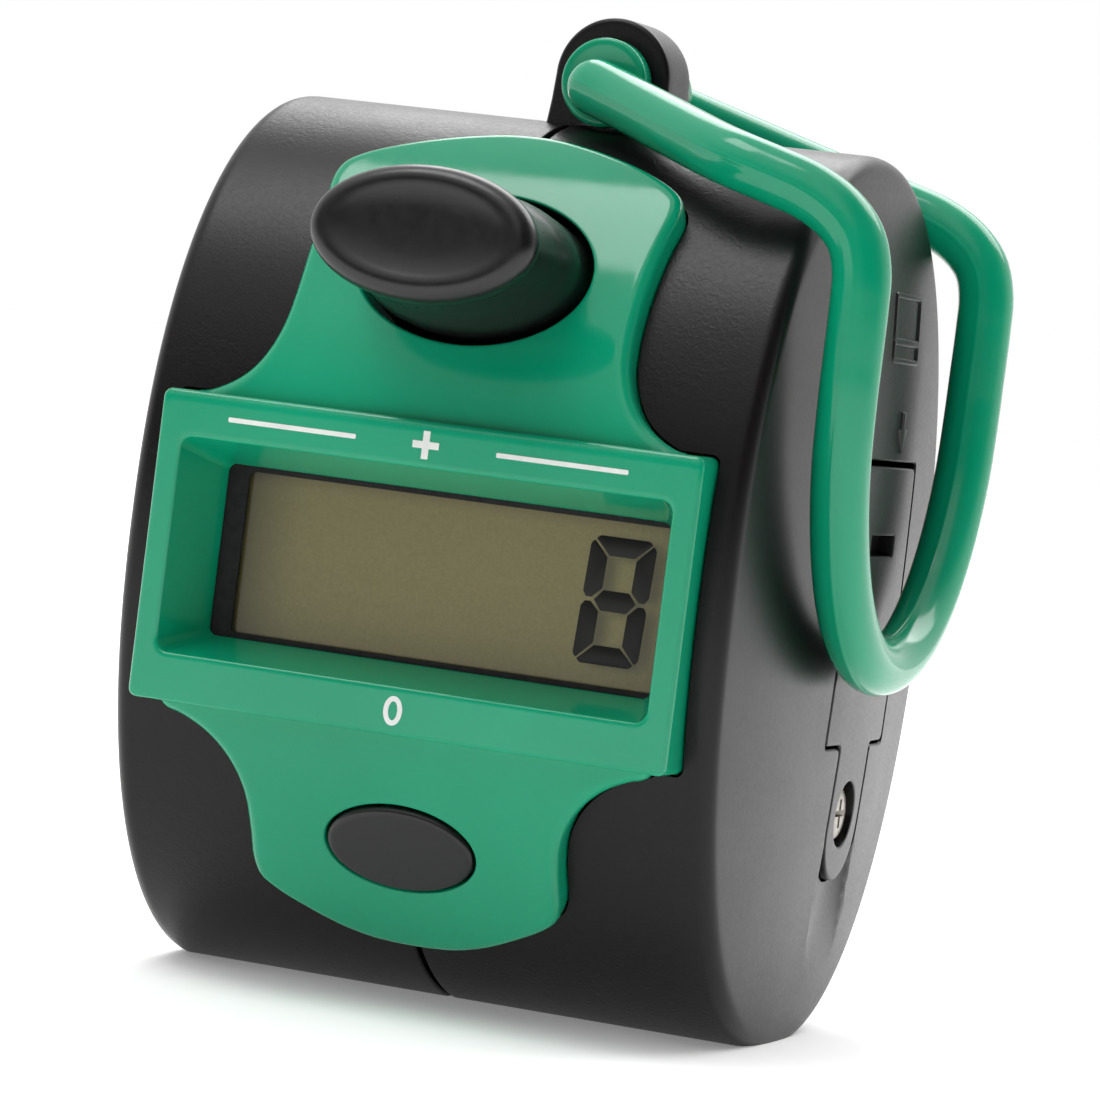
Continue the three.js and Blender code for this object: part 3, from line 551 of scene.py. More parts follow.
CASING, GREEN, RING_GREEN, BUTTON = black_casing(), green_plastic(), green_plastic("green_ring", 0.14), button_black()
STEEL = metal("zinc_steel", srgb(150, 146, 138), 0.3)
PRINT = plain("white_print", srgb(226, 230, 226), 0.5, 2500, 0.05, 0.3)
INK = plain("lcd_ink", srgb(16, 16, 13), 0.4, 800, 0.04, 0.02)
INK.b.inputs["Specular IOR Level"].default_value = 0.25

made = []


def piece(name, me, mat, body, replaces=(), angle=32, weighted=True, mats=None):
    me = me.copy()
    me.name = name
    co = np.empty(len(me.vertices) * 3, np.float64)
    me.vertices.foreach_get("co", co)
    co = co.reshape(-1, 3)
    co[:, 2] += LIFT
    co *= MM
    me.vertices.foreach_set("co", co.ravel())
    me.materials.clear()
    me.materials.append(mat.m)
    for p in me.polygons:
        p.material_index = 0
    me.update()
    me.shade_smooth()
    me.set_sharp_from_angle(angle=math.radians(angle))
    ob = bpy.data.objects.new(name, me)
    bpy.context.scene.collection.objects.link(ob)
    if weighted:
        w = ob.modifiers.new("normals", "WEIGHTED_NORMAL")
        w.mode, w.weight, w.keep_sharp = "FACE_AREA", 50, True
    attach(ob, body)
    if replaces:
        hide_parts(*replaces)
    made.append(ob)
    return ob


# ---------------------------------------------------------------- faceplate
def lobe_loop(side, grow=0.0):
    """Outline of a lobe as (x, arc length). Its base runs on into the bezel, with round corners out of sight."""
    sg = 1 if side is UPPER else -1
    P = [(x, abs(arc_at(z, PROUD))) for x, z in side]
    x1, (x2, s2), R, r = P[1][0], P[2], 1.1, 1.0
    m = (P[1][1] - s2) / (x1 - x2)
    a = math.pi / 2 + math.atan(m)
    xe = x1 - R + R * math.cos(a)
    sc = s2 + m * (xe - x2) - R * math.sin(a)
    s0 = abs(arc_at(5.5 if side is UPPER else -7.1, PROUD))
    low = [(x1 - r + r * math.cos(t), s0 + r + r * math.sin(t)) for t in np.linspace(-math.pi / 2, 0, 8)]
    top = [(x1 - R + R * math.cos(t), sc + R * math.sin(t)) for t in np.linspace(0, a, 10)]
    knots = [top[-1], *P[2:]]
    body = spline([*knots, *[(-x, s) for x, s in knots[::-1]]], 0.32)
    half = [*low, *top[:-1]]
    loop = np.array([*half, *body, *[(-x, s) for x, s in half[::-1]], *[(x, s0) for x in np.linspace(-x1 + r, x1 - r, 60)[1:-1]]])
    loop[:, 1] *= sg
    return offset(loop, -grow)


def on_drum(u, v, h):
    y, z = wrap(v, h)
    return u, y, z


def mouth(at, grow, h, n=96):
    """Loop in the flat of the lobe where the button's hole, grown, meets the height h."""
    c, s = math.cos(math.radians(at["tilt"])), math.sin(math.radians(at["tilt"]))
    S = np.linspace(-QL * 0.999, QL * 0.999, 8001)
    y, z = wrap(S, h)
    # along the tilted frame's second axis
    v = (z - at["z"]) * c + (y - at["y"]) * s
    near = np.sign(at["z"]) * S > 0
    S, v = S[near], v[near]
    o = np.argsort(v)
    t = np.arange(n) / n * 2 * math.pi
    return np.stack([(at["a"] + grow) * np.cos(t), np.interp((at["b"] + grow) * np.sin(t), v[o], S[o])], 1)


def lobe(side, at):
    loop = lobe_loop(side)
    levels = [(loop, BACK), (loop, -0.2)] + round_levels(loop, PROUD, EDGE, 7, 0.22)
    r = 0.16
    hl = [(mouth(at, r + 0.14, PROUD), PROUD)]
    for i in range(6):
        t = i / 5 * math.pi / 2
        h = PROUD - r * (1 - math.cos(t))
        hl.append((mouth(at, r * (1 - math.sin(t)), h), h))
    for h in (0.7, 0.0, BACK):
        hl.append((mouth(at, 0, h), h))
    return slab(levels, on_drum, [("through", hl)], 0.75, 1.2)


def loft_rects(rects, k, mx, my):
    loops = []
    for (x0, x1, z0, z1), r, y in rects:
        P = rrect(x0, x1, z0, z1, r, k, mx, my)
        loops.append(np.stack([P[:, 0], np.full(len(P), y), P[:, 1]], 1))
    return loops


def bezel():
    x, z0, z1, y0, y1 = (BEZEL[k] for k in ("x", "z0", "z1", "y0", "y1"))
    out = (-x, x, z0, z1)

    def inset(r, i):
        return (r[0] + i, r[1] - i, r[2] + i, r[3] - i)

    rec = (-RECESS[0], RECESS[0], RECESS[1], RECESS[2])
    win = (-WINDOW[0], WINDOW[0], WINDOW[1], WINDOW[2])
    pocket = (-LCD["x"] - 0.3, LCD["x"] + 0.3, LCD["z0"] - 0.3, LCD["z1"] + 0.3)
    R = [(out, 0.5, y1), (out, 0.5, -17.5), (out, 0.5, y0 + 0.32)]
    for i in range(1, 9):
        t = i / 8 * math.pi / 2
        d = 0.3 * (1 - math.cos(t))
        q = inset(out, d)
        R.append(((q[0], q[1], q[2], q[3] - 0.9 * d), 0.5 - d, y0 + 0.32 * (1 - math.sin(t))))
    q = inset(out, 0.42)
    R.append(((q[0], q[1], q[2], q[3] - 0.3), 0.3, y0))
    R.append((inset(rec, -0.36), 0.98, y0))
    for i in range(0, 6):
        t = i / 5 * math.pi / 2
        d = 0.22 * (1 - math.sin(t))
        R.append((inset(rec, -d), 0.68 + d, y0 + 0.22 * (1 - math.cos(t))))
    for f in (0.25, 0.5, 0.75, 0.97):
        q = tuple(a + (b - a) * f for a, b in zip(rec, win))
        R.append((q, 0.68 + (0.45 - 0.68) * f, y0 + 0.22 + (WINDOW[3] - y0 - 0.22) * f))
    R.append((win, 0.45, WINDOW[3] + 0.03))
    R.append((win, 0.45, WINDOW[3] + 0.15))
    R.append((pocket, 0.5, WINDOW[3] + 0.15))
    R.append((pocket, 0.5, y1))
    return skin(loft_rects(R, 7, 30, 16), closed=True)


def post(x, z, y0, y1, r, bore, y_bore):
    t = np.arange(32) / 32 * 2 * math.pi
    body = rod("y", y0, y1, r, x, z, 32)
    return cut(body, rod("y", y_bore, y1 + 1, bore, x, z, 32))


plate = union(bezel(), lobe(UPPER, COUNT), lobe(LOWER, RESET))
for x, z in POSTS:
    plate = union(plate, rod("y", -15.5, -9.9, 1.75, x, z, 40))
plate = cut(plate, *[rod("y", -13.6, -9, 0.95, x, z, 32) for x, z in POSTS])
piece("face_panel", plate, GREEN, "casing", ["faceplate"], 34)

# Printed marks on the bezel's front: two rules, a plus above the window and a zero below it.
MARK_Y = BEZEL["y0"]


def flat_mark(name, loops, depth=0.03):
    """Thin ink on the bezel's front. loops: outer loop, then holes, in (x, z)."""
    def place(u, v, h):
        return u, MARK_Y - h, v
    outer = loops[0]
    levels = [(outer, -0.05), (outer, depth - 0.008), (offset(outer, 0.012), depth)]
    holes = [("through", [(offset(q, -0.012), depth), (q, depth - 0.008), (q, -0.05)]) for q in loops[1:]]
    return slab(levels, place, holes, 0, 0)


def stadium(x0, x1, z, w):
    return rrect(x0, x1, z - w / 2, z + w / 2, w * 0.28, 3, 12, 1)


rules = [flat_mark("rule", [stadium(x0, x1, 6.58, 0.27)]) for x0, x1 in ((-11.88, -4.17), (4.17, 11.88))]
for nm, me in zip(("rule_left", "rule_right"), rules):
    piece("print_" + nm, me, PRINT, "casing", (), 30, False)
w, L = 0.2, 0.78
cx, cz = 0.0, 6.62
plus = np.array([(cx - w, cz - L), (cx + w, cz - L), (cx + w, cz - w), (cx + L, cz - w), (cx + L, cz + w), (cx + w, cz + w),
                 (cx + w, cz + L), (cx - w, cz + L), (cx - w, cz + w), (cx - L, cz + w), (cx - L, cz - w), (cx - w, cz - w)])
piece("print_plus", flat_mark("plus", [plus]), PRINT, "casing", (), 30, False)
t = np.arange(48) / 48 * 2 * math.pi
zero = [np.stack([a * np.cos(t), -8.12 + b * np.sin(t)], 1) for a, b in ((0.56, 0.82), (0.27, 0.53))]
piece("print_zero", flat_mark("zero", zero), PRINT, "casing", (), 30, False)

# ---------------------------------------------------------------- casing halves
N_AROUND = 240
SY, SZ, SNY, SNZ = section(N_AROUND)


def ring_at(side, u, inset=0.0, scale=1.0):
    return np.stack([np.full(N_AROUND, side * u), (SY - inset * SNY) * scale, (SZ - inset * SNZ) * scale], 1)


def outer_loops(side, u0, seam=True):
    w = WIDER_L if side < 0 else 0.0
    loops = []
    if seam:
        loops += [ring_at(side, u0, 0.16), ring_at(side, u0 + 0.03, 0.08), ring_at(side, u0 + 0.09, 0.02), ring_at(side, u0 + 0.17, 0)]
    else:
        loops += [ring_at(side, u0, 0)]
    for u in np.linspace(u0 + 1.0, X_0 + w - 0.2, 16):
        loops.append(ring_at(side, u, 0))
    for i in range(9):
        tt = T_END * i / 8
        loops.append(ring_at(side, X_0 + w + ROUND * math.sin(tt), ROUND * (1 - math.cos(tt))))
    for q in (0.985, 0.96, 0.92, 0.86, 0.78, 0.69, 0.59, 0.48, 0.37, 0.26, 0.16, 0.07):
        loops.append(ring_at(side, X_E + w + DOME_E * (1 - q * q), INSET_E, q))
    return loops, (side * (X_E + w + DOME_E), 0, 0)


def cup(side, u0):
    w = WIDER_L if side < 0 else 0.0
    out, tip = outer_loops(side, u0)
    inn = [ring_at(side, u0, WALL)]
    for u in np.linspace(u0 + 2, RIM_X + w - WALL - 0.6, 6):
        inn.append(ring_at(side, u, WALL))
    inn.append(ring_at(side, RIM_X + w - WALL - 0.15, WALL + 0.15))
    inn.append(ring_at(side, RIM_X + w - WALL, WALL + 0.5))
    for q in (0.9, 0.7, 0.45, 0.2):
        inn.append(ring_at(side, RIM_X + w - WALL + 1.2 * (1 - q * q), WALL + 0.5, q))
    return skin(out[::-1] + inn, tip, (side * (RIM_X + w - WALL + 1.2), 0, 0))


def solid_half(side, u0):
    out, tip = outer_loops(side, u0, False)
    return skin(out, (side * u0, 0, 0), tip)


def opening(side):
    loop = lobe_loop(side, SKIN_GAP)
    return slab([(loop, -3.4), (loop, 4.5)], on_drum, [], 1.0, 1.0)


def opening_cutters():
    g = SKIN_GAP
    bz = loft_rects([((-BEZEL["x"] - g, BEZEL["x"] + g, BEZEL["z0"] - g, BEZEL["z1"] + g), 0.5, y) for y in (-27, -13)], 6, 8, 6)
    bz = skin(bz, (0, -27, 0), (0, -13, 0))
    return [opening(UPPER), opening(LOWER), bz]


def lug():
    """The arched ear on top, with softly rounded edges."""
    x, r, za, y0, y1 = LUG["x"], LUG["r"], LUG["z"], LUG["y0"], LUG["y1"]
    pts = [(x + r + 0.42, 22.0), (x + r + 0.3, 25.4), (x + r + 0.1, 27.2), (x + r, za)]
    left = np.linspace(pts[0], pts[1], 6, endpoint=False)
    left = np.concatenate([left, np.linspace(pts[1], pts[2], 6, endpoint=False), np.linspace(pts[2], pts[3], 6, endpoint=False)])
    arc = [(x + r * math.cos(a), za + r * math.sin(a)) for a in np.linspace(0, math.pi, 49)]
    right = np.array([(2 * x - p[0], p[1]) for p in left[::-1]])
    base = np.linspace(right[-1], left[0], 16, endpoint=False)[1:]
    loop = np.concatenate([left, arc, right, base])
    e, e2 = 0.3, 0.5
    low = [(offset(loop, e + 0.15), y0)]
    low += [(offset(loop, e * (1 - math.cos(tt))), y0 + e * (1 - math.sin(tt))) for tt in np.linspace(math.pi / 2, 0, 6)]
    mid = [(loop, h) for h in np.linspace(y0 + e, y1 - e2, 6)[1:-1]]
    return slab(low + mid + round_levels(loop, y1, e2, 6, 0.15), lambda u, v, h: (u, h, v), [], 0.8)


def over_right():
    """The right half's skin grown by a small gap, as a cutter under the leaning side of the lug."""
    loops = [np.stack([np.full(N_AROUND, x), SY + 0.2 * SNY, SZ + 0.2 * SNZ], 1) for x in (-SEAM_L, 12.0)]
    return skin(loops, (-SEAM_L, 0, 0), (12.0, 0, 0))


FLANGES = lambda: [rod("y", a, b, DISC + 0.25, *PIVOT, 64) for a, b in ((-4.75, LUG["y0"]), (LUG["y1"], 4.75))]

left = cup(-1, SEAM_L)
ear = cut(lug(), box(-10, 10, -6, 6, 20, 24.6), over_right())
left = union(left, ear)
for y, z in SHELL_SCREWS:
    left = union(left, common(rod("x", -RIM_X - 0.1, -SEAM_L, 2.9, y, z, 40), solid_half(-1, SEAM_L)))
left = cut(left, *opening_cutters(), box(-30, 30, -30, 30, -40, BASE_Z), *FLANGES(), rod("y", -4, 4, LUG["bore"], *PIVOT, 48))
for y, z in SHELL_SCREWS:
    left = cut(left, rod("x", -22, -6.7, 2.15, y, z, 40), rod("x", -8, 2, 1.1, y, z, 32))
piece("shell_left", left, CASING, "casing", ["left_shell"], 32)


def on_cap(u, v, h):
    """(y, z, height) on the right end cap."""
    return cap_x(u, v) + h, u, v


def door_loop(o, top=0.0):
    y0, y1, z0, z1 = DOOR["y0"] - o, DOOR["y1"] + o, DOOR["z0"] - o, DOOR["z1"] + o + top
    yc, tg, zt = DOOR_SCREW[0], DOOR["tongue"] + o, DOOR["zt"]
    rc = 0.45
    P = []

    def line(a, b, step=0.6):
        n = max(1, int(math.hypot(b[0] - a[0], b[1] - a[1]) / step))
        P.extend([(a[0] + (b[0] - a[0]) * i / n, a[1] + (b[1] - a[1]) * i / n) for i in range(n)])

    def corner(cx, cy, a0, a1, r=rc, n=6):
        P.extend([(cx + r * math.cos(math.radians(a0 + (a1 - a0) * i / n)), cy + r * math.sin(math.radians(a0 + (a1 - a0) * i / n))) for i in range(n)])

    line((y0 + rc, z0), (yc - tg - rc, z0))
    corner(yc - tg - rc, z0 - rc, 90, 0)
    line((yc - tg, z0 - rc), (yc - tg, zt))
    corner(yc, zt, 180, 360, tg, 40)
    line((yc + tg, zt), (yc + tg, z0 - rc))
    corner(yc + tg + rc, z0 - rc, 180, 90)
    line((yc + tg + rc, z0), (y1 - rc, z0))
    corner(y1 - rc, z0 + rc, -90, 0)
    line((y1, z0 + rc), (y1, z1 - rc))
    corner(y1 - rc, z1 - rc, 0, 90)
    line((y1 - rc, z1), (y0 + rc, z1))
    corner(y0 + rc, z1 - rc, 90, 180)
    line((y0, z1 - rc), (y0, z0 + rc))
    corner(y0 + rc, z0 + rc, 180, 270)
    return np.array(P)


right = cup(1, SEAM_R)
solidR = lambda: solid_half(1, SEAM_R)
b = BAY
right = union(
    right,
    common(box(b["x0"], 20, b["y0"] - b["wall"], b["y1"] + b["wall"], b["z0"] - b["wall"], b["z1"] + b["wall"]), solidR()),
    common(rod("x", 10, 20, 2.9, *DOOR_SCREW, 40), solidR()),
    common(box(16.2, 20, -1.9, 11.7, -17.5, -6.4), solidR()),
    common(box(15.6, 20, 0.4, 9.4, -21.5, -15), solidR()),
    *[common(rod("x", -0.45, RIM_X, 2.9, y, z, 40), solidR()) for y, z in SHELL_SCREWS],
)
dl = door_loop(0.18, 0.16)
right = cut(right, *opening_cutters(), *FLANGES(), box(-30, 30, -30, 30, -40, BASE_Z))
# Door pocket, with a slightly broken outer edge.
pocket = slab([(dl, -DOOR["thick"] - 0.3), (dl, -0.12), (offset(dl, -0.12), 0.02), (offset(dl, -0.2), 0.6)], on_cap, [], 0.9)
right = cut(right, pocket, box(b["floor"], 26, b["y0"], b["y1"], b["z0"], b["z1"]), rod("x", 8, 20, 0.95, *DOOR_SCREW, 32))
# Shallow scoop running down from the tongue's end.
sc_loop = np.array([(DOOR_SCREW[0] + 3.45 * math.cos(a), -20.2 + 2.6 * math.sin(a)) for a in np.linspace(math.pi, 2 * math.pi, 24)]
                   + [(DOOR_SCREW[0] + 3.45, z) for z in np.linspace(-19.6, -13.4, 9)[1:]]
                   + [(y, -13.0) for y in np.linspace(DOOR_SCREW[0] + 3.4, DOOR_SCREW[0] - 3.4, 9)]
                   + [(DOOR_SCREW[0] - 3.45, z) for z in np.linspace(-13.4, -19.6, 9)[:-1]])


def scoop_place(u, v, h):
    across = np.clip(1 - ((u - DOOR_SCREW[0]) / 3.45) ** 2, 0, 1)
    down = np.clip((v + 22.4) / 7.5, 0, 1)
    depth = 0.62 * across ** 0.8 * down * down * (3 - 2 * down) - 0.03
    x = cap_x(u, v)
    return np.where(h < 0, x - depth, x + 1.0), u, v


right = cut(right, slab([(sc_loop, -1.0), (sc_loop, 1.0)], scoop_place, [], 0.6))
right = cut(right, *[rod("x", -2, 8, 1.1, y, z, 32) for y, z in SHELL_SCREWS])


def emboss(loops, h=0.11):
    o = loops[0]
    lv = [(offset(o, -0.06), -0.35), (offset(o, -0.05), 0.0), (o, h * 0.75), (offset(o, 0.05), h)]
    hl = [("through", [(offset(q, -0.05), h), (q, h * 0.75), (offset(q, 0.05), 0.0), (offset(q, 0.06), -0.35)]) for q in loops[1:]]
    return slab(lv, on_cap, hl, 0.5)


def frame_pair(y0, y1, z0, z1, w=0.26):
    return [rrect(y0, y1, z0, z1, 0.25, 4, 8, 8), rrect(y0 + w, y1 - w, z0 + w, z1 - w, 0.12, 4, 8, 8)[::-1].copy()]


# Raised plain frame with one divider, and a plain arrow that points down at the door.
right = union(right, emboss(frame_pair(3.0, 8.9, 15.6, 18.5)), emboss(frame_pair(3.0, 8.9, 14.45, 15.75)))
ac, az0, az1 = 6.65, 9.25, 11.6
arrow = [np.array([(ac, az0), (ac + 1.05, az0 + 1.35), (ac + 0.42, az0 + 1.35), (ac + 0.42, az1), (ac - 0.42, az1), (ac - 0.42, az0 + 1.35), (ac - 1.05, az0 + 1.35)])]
right = union(right, emboss(arrow))
piece("shell_right", right, CASING, "casing", ["right_shell"], 32)

# ---------------------------------------------------------------- battery door
lp = door_loop(0.0)
slot0 = rrect(CELL["y"] - 2.65, CELL["y"] + 2.65, 3.1, 4.3, 0.18, 4, 12, 4)
bore0 = np.array([(DOOR_SCREW[0] + 1.95 * math.cos(a), DOOR_SCREW[1] + 1.95 * math.sin(a)) for a in np.arange(64) / 64 * 2 * math.pi])
levels = [(lp, -DOOR["thick"]), (lp, -0.5)] + round_levels(lp, 0.0, 0.16, 4, 0.14)
holes = [
    ("blind", [(offset(slot0, -0.2), 0.0), (offset(slot0, -0.1), 0.0), (offset(slot0, -0.03), -0.03), (slot0, -0.12), (slot0, -0.9)]),
    ("blind", [(offset(bore0, -0.22), 0.0), (offset(bore0, -0.12), 0.0), (offset(bore0, -0.03), -0.04), (bore0, -0.14), (bore0, -1.15)]),
]
door = slab(levels, on_cap, holes, 0.8)
door = cut(door, rod("x", 10, 26, 1.1, *DOOR_SCREW, 40))
piece("door_cover", door, CASING, "casing", ["battery_door"], 32)


# ---------------------------------------------------------------- screws
def screw(head, head_h, shank, length, place):
    prof = [(0, 0), (head * 0.55, 0.0), (head * 0.8, 0.05 * head_h), (head * 0.93, 0.18 * head_h), (head, 0.42 * head_h), (head, head_h), (shank, head_h)]
    z, tip = head_h, length * 0.88
    pitch = shank * 0.75
    while z + pitch < tip:
        prof += [(shank, z + pitch * 0.15), (shank * 1.22, z + pitch * 0.5), (shank, z + pitch * 0.85)]
        z += pitch
    prof += [(shank * 0.8, tip), (0, length)]
    me = lathe(prof, 40, place)
    w, l, d = head * 0.13, head * 0.6, head_h * 0.75
    for a, c in ((w, l), (l, w)):
        q = [(-a, -c), (a, -c), (a, c), (-a, c)]
        top = [place(x * 1.08, y * 1.08, -0.4) for x, y in q]
        low = [place(x * 0.55, y * 0.55, d) for x, y in q]
        me = cut(me, to_mesh(top + low, [(0, 1, 2, 3), (7, 6, 5, 4), (0, 4, 5, 1), (1, 5, 6, 2), (2, 6, 7, 3), (3, 7, 4, 0)]))
    return me


piece("screw_door", screw(1.65, 0.8, 0.7, 7.2, lambda u, w_, h: (18.5 - h, DOOR_SCREW[0] + u, DOOR_SCREW[1] + w_)), STEEL, "casing", ["battery_door_screw"], 30)
for (y, z), nm in zip(SHELL_SCREWS, ("upper", "lower")):
    piece("screw_shell_" + nm, screw(1.8, 1.3, 0.8, 13, lambda u, w_, h, y=y, z=z: (-8.3 + h, y + u, z + w_)), STEEL, "casing", ["shell_screw_" + nm], 30)
for (x, z), nm in zip(POSTS, ("upper_left", "upper_right", "lower_left", "lower_right")):
    piece("screw_board_" + nm, screw(1.5, 0.9, 0.65, 5.6, lambda u, w_, h, x=x, z=z: (x + u, -6.8 - h, z + w_)), STEEL, "casing", ["board_screw_" + nm], 30)

# ---------------------------------------------------------------- finger ring
ARM = [(1.5, 5.45, 28.0), (3.6, 6.7, 27.35), (6.4, 8.7, 26.45), (9.2, 10.7, 25.55), (11.6, 12.3, 24.8), (13.4, 13.15, 24.3),
       (15.4, 13.25, 23.75), (17.5, 13.25, 23.1), (19.3, 13.25, 22.1), (20.5, 13.25, 20.8), (21.05, 13.23, 19.1), (21.15, 13.2, 17), (21.15, 13.15, 14)]
U = [(21.15, -13.1 * math.cos(math.radians(a)), 12 - 15.1 * math.sin(math.radians(a))) for a in range(0, 181, 15)]
path = spline([(x, -y, z) for x, y, z in ARM] + U + [(x, y, z) for x, y, z in ARM[::-1]], 0.42)
n = len(path)
tan = np.gradient(path, axis=0)
tan /= np.linalg.norm(tan, axis=1)[:, None]
mid = n // 2
e1 = np.zeros_like(path)
e1[mid] = (0, 0, 1)
for rng in (range(mid + 1, n), range(mid - 1, -1, -1)):
    for i in rng:
        j = i - 1 if i > mid else i + 1
        v = e1[j] - tan[i] * np.dot(e1[j], tan[i])
        e1[i] = v / np.linalg.norm(v)
e1[mid] -= tan[mid] * np.dot(e1[mid], tan[mid])
e1[mid] /= np.linalg.norm(e1[mid])
e2 = np.cross(tan, e1)
ang = np.concatenate([np.linspace(0, math.pi, 22, endpoint=False), np.linspace(math.pi, 2 * math.pi, 22, endpoint=False)])
ang = np.sort(np.concatenate([ang, [0.045, 0.10, -0.045 + 2 * math.pi, -0.10 + 2 * math.pi, math.pi - 0.045, math.pi - 0.10, math.pi + 0.045, math.pi + 0.10]]))
ridge = np.where(np.minimum(np.abs(np.sin(ang)), 1) < 0.06, 0.028, 0.0)
loops = []


def circle_at(c, a, b2, r, extra=True):
    rr = (r + (ridge if extra else 0))[:, None] if extra else np.full((len(ang), 1), r)
    return c + rr * (np.cos(ang)[:, None] * a + np.sin(ang)[:, None] * b2)


for k in range(6, 0, -1):
    t_ = k / 7 * math.pi / 2
    loops.append(circle_at(path[0] - tan[0] * WIRE * math.sin(t_), e1[0], e2[0], WIRE * math.cos(t_), False))
for i in range(n):
    loops.append(circle_at(path[i], e1[i], e2[i], WIRE))
for k in range(1, 7):
    t_ = k / 7 * math.pi / 2
    loops.append(circle_at(path[-1] + tan[-1] * WIRE * math.sin(t_), e1[-1], e2[-1], WIRE * math.cos(t_), False))
ring = skin(loops, tuple(path[0] - tan[0] * WIRE), tuple(path[-1] + tan[-1] * WIRE))
for sgn, d0, p0, p1 in ((-1, 3.15, 1.0, 4.0), (1, 1.7, -0.4, 4.0)):
    prof = [(0, d0), (DISC - 0.2, d0), (DISC - 0.06, d0 + 0.04), (DISC, d0 + 0.18)]
    for k in range(0, 7):
        t_ = k / 6 * math.pi / 2
        prof.append((DISC - 0.25 * (1 - math.cos(t_)), 4.15 + 0.25 * math.sin(t_)))
    prof += [(DISC - 0.5, 4.4), (1.9, 4.36), (0, 4.36)]
    ring = union(ring, lathe(prof, 72, lambda u, w_, h, s=sgn: (PIVOT[0] + u, s * h, PIVOT[1] + w_)))
    prof = [(0, p0), (PIN - 0.15, p0), (PIN, p0 + 0.15), (PIN, p1), (0, p1)]
    ring = union(ring, lathe(prof, 40, lambda u, w_, h, s=sgn: (PIVOT[0] + u, s * h, PIVOT[1] + w_)))
piece("ring_loop", ring, RING_GREEN, "ring", ["finger_ring"], 38)


# ---------------------------------------------------------------- buttons
def tilted(at, u, v, w_):
    """Point of a button's own frame: u across, v up its face, w_ outwards."""
    c, s = math.cos(math.radians(at["tilt"])), math.sin(math.radians(at["tilt"]))
    return u, at["y"] + v * s - w_ * c, at["z"] + v * c + w_ * s


def elliptic(at, prof, n=96, smooth=0.0):
    P = np.array(prof, float)
    if smooth:
        P = spline(P, smooth)
    t = np.arange(n) / n * 2 * math.pi
    loops = [np.stack(np.broadcast_arrays(*tilted(at, a * np.cos(t), b * np.sin(t), w_)), 1) for w_, a, b in P]
    return skin(loops, tilted(at, 0, 0, P[0][0]), tilted(at, 0, 0, P[-1][0]))


def tilted_box(at, hx, w0, w1, v0, v1):
    P = [tilted(at, x, v, w_) for x in (-hx, hx) for v in (v0, v1) for w_ in (w0, w1)]
    return to_mesh(P, [(0, 1, 3, 2), (4, 6, 7, 5), (0, 4, 5, 1), (2, 3, 7, 6), (0, 2, 6, 4), (1, 5, 7, 3)])


neck = [(-0.4, 6.5, 4.15), (0.6, 6.49, 4.14), (1.5, 6.32, 3.92), (2.4, 6.1, 3.6), (3.4, 5.92, 3.35), (4.4, 5.76, 3.12), (5.4, 5.62, 2.96),
        (5.9, 5.6, 2.94), (6.15, 5.72, 3.05), (6.4, 5.96, 3.26), (6.65, 6.22, 3.49), (6.95, 6.44, 3.68), (7.3, 6.57, 3.78), (7.65, 6.6, 3.8),
        (8.0, 6.54, 3.75), (8.3, 6.38, 3.61), (8.52, 6.14, 3.41), (8.66, 5.84, 3.16), (8.7, 5.5, 2.9), (8.66, 5.12, 2.64), (8.57, 4.65, 2.36), (8.47, 3.95, 1.98), (8.38, 3.0, 1.48), (8.33, 1.8, 0.88), (8.31, 0.6, 0.3)]
smooth_neck = [tuple(p) for p in spline(neck, 0.16)]
cap = elliptic(COUNT, [(-5.0, 6.5, 4.15)] + smooth_neck)
cap = union(cap, tilted_box(COUNT, 7.7, -5.0, -4.2, -2.8, 0.0), elliptic(COUNT, [(-5.3, 1.5, 1.5), (-4.5, 1.5, 1.5)], 40))
piece("count_plunger", cap, BUTTON, "count_key", ["count_button"], 34)

rp = [(-0.45, 4.43, 2.61), (-0.2, 4.42, 2.6), (-0.03, 4.36, 2.54), (0.08, 4.22, 2.41), (0.14, 4.0, 2.22), (0.17, 3.5, 1.85), (0.19, 2.6, 1.3), (0.2, 1.5, 0.75), (0.2, 0.5, 0.25)]
rcap = elliptic(RESET, [(-3.9, 4.28, 2.45), (-1.6, 4.28, 2.45), (-0.8, 4.43, 2.61)] + [tuple(p) for p in spline(rp, 0.12)], 80)
rcap = union(rcap, elliptic(RESET, [(-4.6, 5.2, 3.2), (-3.8, 5.2, 3.2)], 64), elliptic(RESET, [(-6.0, 1.3, 1.3), (-4.5, 1.3, 1.3)], 40))
piece("reset_plunger", rcap, BUTTON, "reset_key", ["reset_button"], 34)

# ---------------------------------------------------------------- display
DX0, DX1, DZ0, DZ1 = 8.45, 12.3, -4.27, 2.86
SEG, GP, SLANT = 1.06, 0.12, 0.05
ZM = (DZ0 + DZ1) / 2


